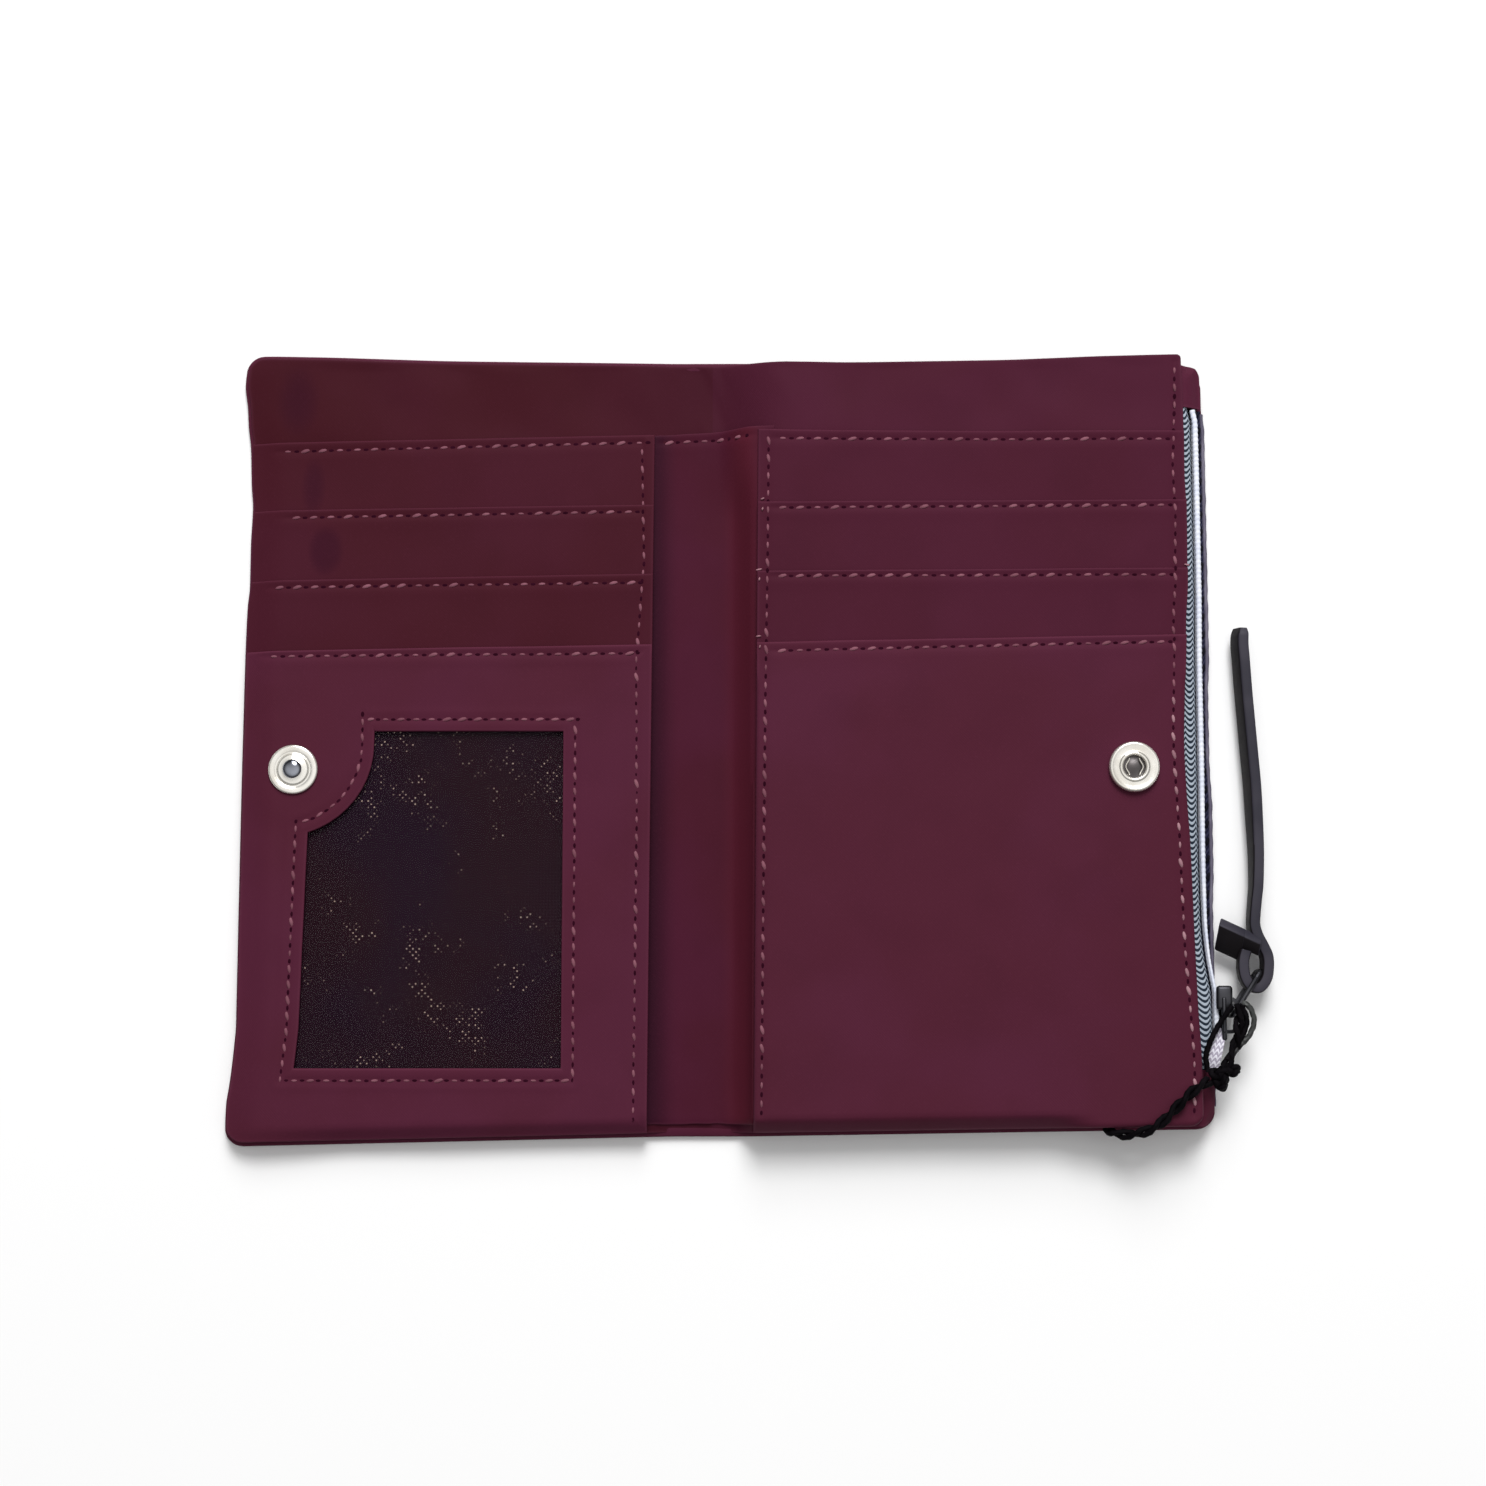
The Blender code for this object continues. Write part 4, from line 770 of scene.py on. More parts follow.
def mapped_shell(columns: int, rows: int, surface: Callable[[int, int, int], Vector],
                 fold: Callable[[int, int], float] | None = None, ring: bool = False,
                 woven: Callable[[int, int], Plan] | None = None) -> bmesh.types.BMesh:
    """Closed thin body from a grid that is laid over two surfaces.

    Args:
        columns: Number of columns of vertices.
        rows: Number of rows of vertices.
        surface: Place of a column and row on the upper face (1) or the lower one (-1).
        fold: Share of the painted highlight at a vertex near a folded edge, or none where there is
            no fold.
        ring: True where the last column meets the first.
        woven: Millimetres across and along a tape, for its UV map.

    Returns:
        The body.
    """
    shape = bmesh.new()
    bmesh.ops.create_grid(shape, x_segments=columns - 1, y_segments=rows - 1, size=0.5)
    column_of = shape.verts.layers.int.new("column")
    row_of = shape.verts.layers.int.new("row")
    fold_highlight_of = shape.verts.layers.float.new("fold")
    for vert in shape.verts:
        vert[column_of] = round((vert.co.x + 0.5) * (columns - 1))
        vert[row_of] = round((vert.co.y + 0.5) * (rows - 1))
        vert[fold_highlight_of] = fold(vert[column_of], vert[row_of]) if fold else 0.0
    if ring:
        for vert in shape.verts:
            turn = math.tau * vert[column_of] / (columns - 1)
            vert.co = Vector((math.cos(turn), math.sin(turn), 0)) * (1 + vert[row_of] / rows)
        bmesh.ops.remove_doubles(shape, verts=shape.verts, dist=0.0001)
    made = bmesh.ops.extrude_face_region(shape, geom=shape.faces[:])
    raised = {vert for vert in made["geom"] if isinstance(vert, bmesh.types.BMVert)}
    for vert in shape.verts:
        vert.co = surface(vert[column_of], vert[row_of], 1 if vert in raised else -1)
    if woven:
        tape = shape.loops.layers.uv.new("tape")
        for face in shape.faces:
            for loop in face.loops:
                loop[tape].uv = woven(loop.vert[column_of], loop.vert[row_of])
    for layer in ("column", "row"):
        shape.verts.layers.int.remove(shape.verts.layers.int[layer])
    bmesh.ops.recalc_face_normals(shape, faces=shape.faces)
    return shape


def rolled(gap: float, thickness: float) -> float:
    """How far both faces of a sheet draw together at a distance from its folded edge."""
    radius = thickness / 2
    if gap >= radius:
        return 0.0
    return 0.92 * (radius - math.sqrt(max(0.0, gap * (2 * radius - gap))))


@dataclass
class Cloth:
    """A sewn sheet that spans between two places along X and two edges along Y."""

    left: float
    right: float
    lower: Line
    upper: Line
    top: Height
    under: Height
    folds: tuple[Side, ...] = tuple(Side)
    step: float = 0.0017

    def gaps(self, x: float, y: float) -> dict[Side, float]:
        """Distances of a place from the four borders."""
        return {Side.LEFT: x - self.left, Side.RIGHT: self.right - x,
                Side.LOWER: y - self.lower(x), Side.UPPER: self.upper(x) - y}

    def build(self) -> bmesh.types.BMesh:
        """Make the sheet."""
        across = Stations(self.right - self.left, self.step)
        middle = (self.left + self.right) / 2
        along = Stations(self.upper(middle) - self.lower(middle), self.step)

        marks: dict[tuple[int, int], tuple[float, float, float, float, float]] = {}
        for column in range(across.count):
            x = across.at(column, self.left, self.right)
            for row in range(along.count):
                y = along.at(row, self.lower(x), self.upper(x))
                gaps = self.gaps(x, y)
                nearest = min(gaps[side] for side in self.folds) if self.folds else 1.0
                marks[column, row] = (x, y, self.top(x, y), self.under(x, y), max(0.0, nearest))

        def surface(column: int, row: int, way: int) -> Vector:
            """A point of one face."""
            x, y, high, low, nearest = marks[column, row]
            drop = rolled(nearest, high - low)
            return DRAPE.lay(x, y, high - drop if way > 0 else low + drop)

        return mapped_shell(
            across.count, along.count, surface,
            # Share of the painted fold highlight, fading over its width
            lambda column, row: 1 - smooth(marks[column, row][4] / FOLD_HIGHLIGHT_WIDTH))


def add_ball(shape: bmesh.types.BMesh, place: Vector, size: Vector, turn: float, finish: int,
             sag: float = 0.0) -> None:
    """Add a small stretched ball, such as one stitch.

    Args:
        shape: Mesh that it joins.
        place: Its middle.
        size: Its half sizes.
        turn: Direction in plan.
        finish: Material number.
        sag: How far its ends dip.
    """
    made = bmesh.ops.create_uvsphere(shape, u_segments=8, v_segments=5, radius=1.0)
    matrix = Matrix.Translation(place) @ Matrix.Rotation(turn, 4, "Z")
    for vert in made["verts"]:
        bow = sag * vert.co.x ** 2
        local = Vector((vert.co.x * size.x, vert.co.y * size.y, vert.co.z * size.z - bow))
        vert.co = matrix @ local
        for face in vert.link_faces:
            face.material_index = finish
            face.smooth = True


@dataclass
class Stitching:
    """Rows of stitches with a dark ellipse of painted shade at each needle hole, gathered in one
    piece.
    """

    name: str
    shape: bmesh.types.BMesh = field(default_factory=bmesh.new)
    FINISHES: ClassVar[tuple[str, ...]] = (
        "pink_thread", "stitch_gap_shade", "pale_thread_end", "bright_thread")

    def row(self, seam: Seam, surface: Height, flip: bool = False) -> None:
        """Sew along a seam.

        Args:
            seam: The line.
            surface: Height of the cloth's face in the flat cut.
            flip: True on the underside.
        """
        way = -1 if flip else 1
        for place, turn in seam.walk():
            chance = noise.cell(Vector((place.x * 977, place.y * 1013, 3.0)))
            size = STITCH_SIZE * (0.88 + 0.24 * chance)
            point = DRAPE.lay(place.x, place.y, surface(place.x, place.y))
            point.z += way * size.z * 0.45
            add_ball(self.shape, point, size, turn + STITCH_SLANT * (0.6 + 0.8 * chance),
                     3 if place.y < seam.bright_below else 0, sag=way * size.z * 0.8)
            # A dark flat ellipse at the needle hole paints the shade where the thread dips into the
            # cloth
            ahead = place + Vector((math.cos(turn), math.sin(turn))) * seam.pitch / 2
            gap_shade = DRAPE.lay(ahead.x, ahead.y, surface(ahead.x, ahead.y))
            add_ball(self.shape, gap_shade, STITCH_GAP_SHADE_SIZE, turn, 1)

    def end(self, place: Plan, surface: Height, turn: float, length: float) -> None:
        """Leave a pale thread end sticking out."""
        point = DRAPE.lay(*place, surface(*place)) + Vector((0, 0, 0.00025))
        add_ball(self.shape, point, Vector((length / 2, 0.00020, 0.00018)), turn, 2, sag=0.0001)

    def finish(self, body: Body | None = None) -> bpy.types.Object:
        """Make the piece."""
        return deliver(self.name, self.shape, self.FINISHES, "nylon", sharp=60, body=body)


@dataclass
class Levels:
    """Heights of the layers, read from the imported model."""

    panel_sheet: float = 0.0007

    def __post_init__(self) -> None:
        """Read the boxes of the nodes."""
        self.lining = self.of("bill_lining_left")
        self.left_rows = [self.of("slot_backing_left"), self.of("slot_strip_left_1"),
                          self.of("slot_strip_left_2"), self.panel("window_panel")]
        self.divider = self.of("bill_divider")
        self.right_rows = [self.of("slot_backing_right"), self.of("slot_strip_right_1"),
                           self.of("slot_strip_right_2"), self.panel("front_panel_right")]

    @staticmethod
    def of(node: str) -> Plan:
        """Lowest and highest height of a node."""
        low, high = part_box(node)
        return low.z, high.z

    def panel(self, node: str) -> Plan:
        """Heights of a panel's sheet, without its hems, which reach lower."""
        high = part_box(node)[1].z
        return high - self.panel_sheet, high


LEVELS = Levels()


@dataclass
class Half:
    """What both halves share: slot edges, rows of stitches, slot sheets and sewing."""

    # Slot edges and their rows of stitches: place along Y at the left and at the right end
    fold_ends: tuple[Plan, ...]
    seam_ends: tuple[Plan, ...]
    side: str
    body: Body
    twill: str
    lining: str
    sheet_folds: tuple[Side, ...]
    panel_corner: float
    strip_depth: float = 0.0240
    shoulder_gap: float = 0.0006
    hem: float = 0.0012

    def draw(self, box: tuple[Vector, Vector], levels: list[Plan], starts: Iterable[float],
             stop: float, columns: Iterable[Seam]) -> None:
        """Work out the lines.

        Args:
            box: Box of the model's panel.
            levels: Heights of the rows from the first to the panel.
            starts: Where each row of stitches starts along X.
            stop: Where the rows of stitches end along X.
            columns: Stitching down the sides.
        """
        self.left, self.right = box[0].x, box[1].x
        self.outer, self.inner = sorted((self.left, self.right), key=abs, reverse=True)
        self.levels = levels
        self.folds = [straight((self.left, first), (self.right, second))
                      for first, second in self.fold_ends]
        self.rows = [Seam(((start, first), (stop, second)))
                     for start, (first, second) in zip(starts, self.seam_ends)]
        self.columns = tuple(columns)
        self.seams = [*self.rows, *self.columns]
        self.lower = rounded_end(lower_edge, self.outer, self.panel_corner, LINING_INSET, -1)
        self.shoulder = self.folds[2](self.inner) - self.strip_depth - self.shoulder_gap

    def strip(self, name: str, row: int, lower: Line, hem: bool = False) -> None:
        """One slot sheet; a panel's outer, inner and lower edges turn down as a hem."""
        low, high = self.levels[row]
        hem_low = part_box(name)[0].z

        def under(x: float, y: float) -> float:
            """Lower face, which drops at a hem."""
            edge = min(x - self.left, self.right - x, y - lower(x))
            return hem_low if hem and edge < self.hem and y < self.shoulder else low

        cloth = Cloth(self.left, self.right, lower, self.folds[row],
                      pressed(high, (self.rows[row], *self.columns)), under,
                      folds=self.sheet_folds + ((Side.LOWER,) if hem else ()))
        piece = deliver(name, cloth.build(), ["burgundy_twill" if hem else self.twill], "nylon",
                        [name], body=self.body)
        length = self.folds[row](self.inner) - lower(self.inner)

    def strips(self) -> None:
        """The sheets of all card slots."""
        self.strip(f"slot_backing_{self.side}", 0, self.lower)
        for row in (1, 2):
            fold = self.folds[row]
            self.strip(f"slot_strip_{self.side}_{row}", row,
                       lambda x, fold=fold: fold(x) - self.strip_depth)

    def face(self, base: float) -> Height:
        """Upper face in the flat cut: it steps up from the lining at every slot edge."""
        def height(x: float, y: float) -> float:
            """Height of the uppermost layer, drawn in by the seams."""
            level = base
            for fold, (_, high) in zip(self.folds, self.levels):
                if y < fold(x):
                    level = high
            return level + sum(seam.press(x, y) for seam in self.seams)
        return height

    def sewn(self, surface: Height) -> Stitching:
        """Every row of stitches of the half."""
        sewing = Stitching(f"stitching_{self.side}")
        for seam in self.seams:
            sewing.row(seam, surface)
        return sewing


@dataclass
class LeftHalf(Half):
    """Cover half: card slots, window panel with its film and net, and its stitching."""

    side: str = "left"
    body: Body = Body.COVER
    twill: str = "left_strip_twill"
    lining: str = "bill_lining_left"
    sheet_folds: tuple[Side, ...] = (Side.UPPER, Side.RIGHT)
    fold_ends: tuple[Plan, ...] = (
        (0.0680, 0.0700), (0.0523, 0.0537), (0.0361, 0.0377), (0.0199, 0.0215)
    )
    seam_ends: tuple[Plan, ...] = (
        (0.0660, 0.0681), (0.0506, 0.0520), (0.0345, 0.0356), (0.0187, 0.0194)
    )
    seam_starts: tuple[float, ...] = (-0.0990, -0.0972, -0.1003, -0.1005)
    column: tuple[Plan, ...] = (
        (-0.0164, 0.0680), (-0.0156, 0.0410), (-0.0170, 0.0180), (-0.0165, -0.0200),
        (-0.0166, -0.0845)
    )
    row_gap: float = 0.0006
    panel_corner: float = 0.0036

    def __post_init__(self) -> None:
        """Work out the lines from the model's boxes."""
        self.draw(WINDOW_PANEL, LEVELS.left_rows, self.seam_starts,
                  self.column[0][0] - self.row_gap, [Seam(self.column)])
        self.window = WindowPanel(self)
        self.seams.append(self.window.seam)

    def build(self) -> None:
        """Make every piece of the half."""
        self.strips()
        self.window.build()
        self.sewn(self.face(LEVELS.lining[1])).finish(self.body)


@dataclass
class WindowPanel:
    """Lowest left panel: identity window with its round cut-out, film and net."""

    half: Half
    top: float = 0.0018
    bottom: float = -0.0728
    right: float = -0.0332
    left_low: float = -0.0913
    left_high: float = -0.0899
    cutout: Vector = Vector((-0.0959, -0.0013))
    cutout_radius: float = 0.02045
    seam_gap: float = 0.0027
    centre: Vector = Vector((-0.0600, -0.0370))
    film_margin: float = 0.0023
    arc_steps: int = 10
    turns: int = 300
    ring_span: float = 0.045
    ring_step: float = 0.0019
    stitch_pitch: float = 0.00345
    film_swell: float = 0.00012

    def __post_init__(self) -> None:
        """Lay out the stitches round the window."""
        self.seam = Seam(tuple((p.x, p.y) for p in self.outline(self.seam_gap)), closed=True,
                         pitch=self.stitch_pitch)

    def outline(self, margin: float) -> list[Vector]:
        """Window outline grown by a margin, counter-clockwise from the cut-out's upper end."""
        radius = self.cutout_radius - margin
        left = self.left_high - margin
        start = -math.acos((left - self.cutout.x) / radius)
        end = math.asin((self.top + margin - self.cutout.y) / radius) if margin < 0 else 0.0
        arc = [start + (end - start) * step / self.arc_steps for step in range(self.arc_steps + 1)]
        cut = [self.cutout + Vector((math.cos(a), math.sin(a))) * radius for a in arc]
        return [
            Vector((cut[-1].x, self.top + margin)),
            Vector((self.right + margin, self.top + margin)),
            Vector((self.right + margin, self.bottom - margin)),
            Vector((self.left_low - margin, self.bottom - margin)),
            *cut,
        ]

    def ray(self, corners: list[Vector], turn: float) -> tuple[float, float]:
        """Distance from the centre to an outline, and how square the ray meets it."""
        way = Vector((math.cos(turn), math.sin(turn)))
        best = (1.0, 1.0)
        for start, end in zip(corners, corners[1:] + corners[:1]):
            run = end - start
            cross = way.cross(run)
            if abs(cross) < 1e-12:
                continue
            reach = (start - self.centre).cross(run) / cross
            share = (start - self.centre).cross(way) / cross
            if reach > 0 and -1e-6 <= share <= 1 + 1e-6 and reach < best[0]:
                best = (reach, abs(cross) / run.length)
        return best

    def panel_outline(self) -> list[Vector]:
        """Outer edge of the panel."""
        half = self.half
        lower, top = half.lower, half.folds[-1]
        bend = [half.outer + half.panel_corner * (1 - math.cos(math.pi / 2 * step / 6))
                for step in range(6, -1, -1)]
        return [Vector((half.inner, top(half.inner))), Vector((half.inner, lower(half.inner))),
                *[Vector((x, lower(x))) for x in bend], Vector((half.outer, top(half.outer)))]

    def build(self) -> None:
        """Make the panel, the film and the net."""
        half = self.half
        window, outer = self.outline(0.0), self.panel_outline()
        turns = [math.tau * step / self.turns for step in range(self.turns)]
        turns += [math.atan2(p.y - self.centre.y, p.x - self.centre.x) % math.tau
                  for p in (*window[:5], *outer)]
        turns = sorted(set(round(turn, 7) for turn in turns))
        turns.append(turns[0])
        inner_rays = [self.ray(window, turn) for turn in turns]
        outer_rays = [self.ray(outer, turn) for turn in turns]
        stations = Stations(self.ring_span, self.ring_step)
        low, high = LEVELS.left_rows[-1]
        hem_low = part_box("window_panel")[0].z
        top_height = pressed(high, (half.rows[-1], *half.columns, self.seam))

        def place(column: int, row: int) -> tuple[Plan, float, float]:
            """Place in the flat cut with its distances from the window and the outer edge."""
            first, squared = inner_rays[column]
            last, outer_squared = outer_rays[column]
            reach = stations.at(row, first, last)
            way = Vector((math.cos(turns[column]), math.sin(turns[column])))
            here = self.centre + way * reach
            return (here.x, here.y), (reach - first) * squared, (last - reach) * outer_squared

        def surface(column: int, row: int, way: int) -> Vector:
            """A point of one face."""
            (x, y), window_gap, outer_gap = place(column, row)
            nearest = min(window_gap, outer_gap)
            hem = y < half.shoulder and outer_gap < half.hem and way < 0
            z = top_height(x, y) if way > 0 else (hem_low if hem else low)
            return DRAPE.lay(x, y, z - way * rolled(nearest, high - low))

        def folded(column: int, row: int) -> float:
            """Share of the painted highlight at a folded edge."""
            _, window_gap, outer_gap = place(column, row)
            return 1 - smooth(min(window_gap, outer_gap) / FOLD_HIGHLIGHT_WIDTH)

        shape = mapped_shell(len(turns), stations.count, surface, folded, ring=True)
        panel = deliver("window_panel", shape, ["burgundy_twill"], "nylon", ["window_panel"],
                        body=half.body)
        width, length = half.right - half.left, half.folds[-1](half.inner) - lower_edge(half.inner)
        self.sheet("window_film", "clear_film", "film")
        self.sheet("window_mesh", "window_net", "mesh")

    def sheet(self, name: str, finish: str, slot: str) -> None:
        """Film or net behind the window: it swells a little where a card would lie."""
        low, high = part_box(name)
        radius = self.cutout_radius - self.film_margin
        reach = self.cutout.x + radius

        def upper(x: float) -> float:
            """Upper edge, which leaves out the round cut beside the snap."""
            if x >= reach:
                return high.y
            return self.cutout.y - math.sqrt(radius * radius - (x - self.cutout.x) ** 2)

        swelling = self.film_swell if slot == "film" else 0.0
        cloth = Cloth(low.x, high.x, lambda x: low.y, upper,
                      lambda x, y: high.z + swelling * swell(x, y, 0.016, 9.0),
                      lambda x, y: low.z, folds=(), step=0.0013)
        deliver(name, cloth.build(), [finish], slot, [name], body=self.half.body)


@dataclass
class RightHalf(Half):
    """Coin half without its zip: card slots, front panel and their stitching."""

    side: str = "right"
    body: Body = Body.COIN
    twill: str = "right_strip_twill"
    lining: str = "bill_divider"
    sheet_folds: tuple[Side, ...] = (Side.UPPER, Side.LEFT, Side.RIGHT)
    fold_ends: tuple[Plan, ...] = (
        (0.0702, 0.0699), (0.0534, 0.0539), (0.0375, 0.0382), (0.0212, 0.0230)
    )
    seam_ends: tuple[Plan, ...] = (
        (0.0681, 0.0679), (0.0520, 0.0526), (0.0363, 0.0366), (0.0192, 0.0213)
    )
    inner_column: tuple[Plan, ...] = (
        (0.0123, 0.0695), (0.0122, 0.0400), (0.0119, 0.0100), (0.0117, -0.0400), (0.0116, -0.0830)
    )
    outer_column: tuple[Plan, ...] = (
        (0.1038, 0.0860), (0.1034, 0.0780), (0.1026, 0.0640), (0.1026, 0.0500), (0.1023, 0.0310),
        (0.1026, 0.0050), (0.1028, -0.0130), (0.1027, -0.0300), (0.1028, -0.0460),
        (0.1033, -0.0600), (0.1034, -0.0760), (0.1030, -0.0830)
    )
    row_gap: float = 0.0012
    bright_below: float = 0.012
    panel_corner: float = 0.0030
    thread_ends: tuple[tuple[float, ...], ...] = (
        (0.0110, 0.0541, 0.4, 0.0010), (0.0110, 0.0516, 1.3, 0.0009),
        (0.0103, 0.0378, 0.2, 0.0016), (0.0104, 0.0355, 1.4, 0.0009),
        (0.0103, 0.0226, 0.1, 0.0013), (0.0106, 0.0201, 1.3, 0.0009),
        (0.1050, 0.0389, -0.2, 0.0014)
    )

    def __post_init__(self) -> None:
        """Work out the lines from the model's boxes."""
        start, stop = self.inner_column[0][0] + self.row_gap, self.outer_column[0][0] - self.row_gap
        outer_seam = Seam(self.outer_column, bright_below=self.bright_below)
        self.draw(FRONT_PANEL, LEVELS.right_rows, itertools.repeat(start), stop,
                  [Seam(self.inner_column), outer_seam])

    def build(self) -> None:
        """Make every piece of the half."""
        self.strips()
        self.strip("front_panel_right", 3, self.lower, hem=True)
        surface = self.face(LEVELS.divider[1])
        sewing = self.sewn(surface)
        for x, y, turn, length in self.thread_ends:
            sewing.end((x, y), surface, turn, length)
        sewing.finish(self.body)


@dataclass
class Spine:
    """Outer cover, bill lining and spine lining, which run across both folds of the spine."""

    left_blend: Blend = (Vector((-0.0130, 0, 0)), Vector((-0.0045, 0, 0)))
    right_blend: Blend = (Vector((0.0005, 0, 0)), Vector((0.0082, 0, 0)))
    cover_blend: Blend = (Vector((0.0045, 0, 0)), Vector((0.0130, 0, 0)))
    lining_knots: tuple[Plan, ...] = (
        (-0.0118, 0.00270), (-0.0104, 0.00190), (0.0050, 0.0020), (0.0101, 0.0075)
    )
    pocket_knots: tuple[Plan, ...] = (
        (-0.0150, 0.00270), (-0.0060, 0.00215), (0.0010, 0.0023), (0.0170, 0.0075)
    )
    spine_knots: tuple[Plan, ...] = (
        (-0.0160, 0.00305), (-0.0124, 0.00303), (-0.0111, 0.00275), (-0.0101, 0.00245),
        (-0.0088, 0.00248), (-0.0050, 0.0026), (-0.0015, 0.0026), (0.0015, 0.0026),
        (0.0042, 0.0027), (0.0070, 0.0050), (0.0098, 0.00785)
    )
    spine_top_knots: tuple[Plan, ...] = ((-0.0160, 0.00305), (-0.0124, 0.00303), (-0.0105, 0.0027),
                                         (-0.0060, 0.0029), (0.0010, 0.0033), (0.0098, 0.00785))
    thickness: float = 0.00032
    ripple_height: float = 0.00016
    slack_height: float = 0.00060
    zip_seam_from: float = 0.098
    cover_sheet: float = 0.0012
    hem_high: float = 0.0020
    hem_width: float = 0.0022
    top_fold: tuple[Plan, ...] = ((-0.0135, 0.0699), (0.0101, 0.0710))
    top_seam: tuple[Plan, ...] = ((-0.0118, 0.0682), (0.0088, 0.0690))
    back_inset: float = 0.0029
    back_start: float = 0.0150
    back_level: float = 0.00014
    board_inset: float = 0.0030
    board_under: float = 0.0002
    board_step: float = 0.0040
    divider_corners: Plan = (0.0010, 0.0020)
    zip_side_corner: float = 0.0058
    lining_ends: Plan = (-0.0160, 0.0135)
    lining_step: float = 0.0011
    lining_wave: float = 0.0004

    def ripple(self, x: float, y: float) -> float:
        """Lengthwise creases of the loose spine lining, stronger at its lower end."""
        low_end = 1 + 1.4 * (1 - between(y, -0.086, -0.066))
        wave = swell(x, y * 0.16, 0.0034, 8.3) + 0.6 * swell(x + 0.3 * y, y * 0.5, 0.006, 2.2)
        inside = between(x, -0.0115, -0.0085) * (1 - between(x, 0.0050, 0.0068))
        return self.ripple_height * wave * low_end * inside

    def lining_level(self, x: float, y: float) -> float:
        """Upper face of the bill lining, looser above the slots."""
        upper = between(y, 0.0640, 0.0705)
        level = through(self.lining_knots, x) * (1 - upper) + through(self.pocket_knots, x) * upper
        loose = upper * (1 - between(y, 0.0845, 0.0875))
        slack = self.slack_height * swell(x + 0.35 * y, y, 0.013, 4.4) * loose
        fold = self.slack_height * swell(x * 2.4 + y * 1.1, y * 0.5, 0.010, 6.1) * loose
        near = 1 - between(abs(x), 0.009, 0.024)
        return level + slack + fold * near

    def spine_level(self, x: float, y: float) -> float:
        """Upper face of the spine lining."""
        high = between(y, 0.0500, 0.0680)
        level = through(self.spine_knots, x) * (1 - high) + through(self.spine_top_knots, x) * high
        return level + self.ripple(x, y) + Seam(self.top_seam).press(x, y)

    @staticmethod
    def bend(piece: bpy.types.Object, left: bool, blend: Blend) -> None:
        """Bake a piece's transform into its mesh; it does not bend with the spine."""
        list(blend)
        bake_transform(piece)

    def sheet(self, name: str, cloth: Cloth, replaced: list[str], left: bool, blend: Blend,
              finish: str) -> None:
        """Deliver a sheet and bake its transform into its mesh."""
        piece = deliver(name, cloth.build(), [finish], "nylon", replaced)
        self.bend(piece, left, blend)
        middle = (cloth.left + cloth.right) / 2
        length = cloth.upper(middle) - cloth.lower(middle)

    def build_linings(self) -> None:
        """Bill lining and divider in one run, and the spine lining above them."""
        outer_left, outer_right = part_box("bill_lining_left")[0].x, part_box("bill_divider")[1].x
        inset = LINING_INSET
        upper_left = rounded_end(upper_edge, outer_left, CORNER - inset, inset, 1)
        lower_left = rounded_end(lower_edge, outer_left, CORNER - inset, inset, -1)
        upper_right = rounded_end(upper_edge, outer_right, self.divider_corners[0], inset, 1)
        lower_right = rounded_end(lower_edge, outer_right, self.divider_corners[1], inset, -1)
        seam = Seam(RightHalf.outer_column)

        def top(x: float, y: float) -> float:
            """Upper face with the stitches beside the zip."""
            return self.lining_level(x, y) + (seam.press(x, y) if x > self.zip_seam_from else 0.0)

        def under(x: float, y: float) -> float:
            """Lower face."""
            return self.lining_level(x, y) - self.thickness

        left = Cloth(outer_left, 0.0, lower_left, upper_left, top, under,
                     folds=(Side.UPPER, Side.LEFT, Side.LOWER))
        self.sheet("bill_lining_left", left, ["bill_lining_left"], True, self.left_blend,
                   "bill_lining_twill")
        right = Cloth(0.0, outer_right, lower_right, upper_right, top, under,
                      folds=(Side.UPPER, Side.RIGHT, Side.LOWER))
        self.sheet("bill_divider", right, ["bill_divider"], False, self.right_blend,
                   "divider_twill")
        fold = straight(*self.top_fold)
        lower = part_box("spine_lining")[0].y
        hem: Line = lambda x: lower + self.lining_wave * swell(x, 0.0, 0.004, 3.3)
        spine_under: Height = lambda x, y: self.spine_level(x, y) - self.thickness
        for name, start, end, is_left, blend in (
            ("spine_lining_left", self.lining_ends[0], 0.0, True, self.left_blend),
            ("spine_lining_right", 0.0, self.lining_ends[1], False, self.right_blend),
        ):
            cloth = Cloth(start, end, hem, fold, self.spine_level, spine_under,
                          folds=(Side.UPPER, Side.LOWER), step=self.lining_step)
            self.sheet(name, cloth, ["spine_lining"], is_left, blend, "burgundy_lining")
        self.sew_top()

    def sew_top(self) -> None:
        """Stitches along the spine lining's folded top."""
        (start_x, start_y), (end_x, end_y) = self.top_seam
        middle = (0.0, start_y + (end_y - start_y) * -start_x / (end_x - start_x))
        for name, points, left, blend in (
            ("stitching_spine_left", ((start_x, start_y), middle), True, self.left_blend),
            ("stitching_spine_right", (middle, (end_x, end_y)), False, self.right_blend),
        ):
            sewing = Stitching(name)
            sewing.row(Seam(points), self.spine_level)
            self.bend(sewing.finish(), left, blend)

    def build_cover(self) -> None:
        """Outer cover: it lies on the table and its edges turn in as a hem."""
        rise = self.hem_high - self.cover_sheet
        hem = self.hem_width
        for name, left, right, replaced, is_left, blend in (
            ("outer_cover_left", COVER_LEFT[0].x, 0.0, ["outer_cover_left", "outer_cover_spine"],
             True, self.left_blend),
            ("outer_cover_right", 0.0, COVER_RIGHT[1].x, ["outer_cover_right"], False,
             self.cover_blend),
        ):
            corner = left if is_left else right
            radius = CORNER if is_left else self.zip_side_corner
            upper = rounded_end(stepped_edge, corner, radius, 0.0, 1)
            lower = rounded_end(lower_edge, corner, CORNER, 0.0, -1)

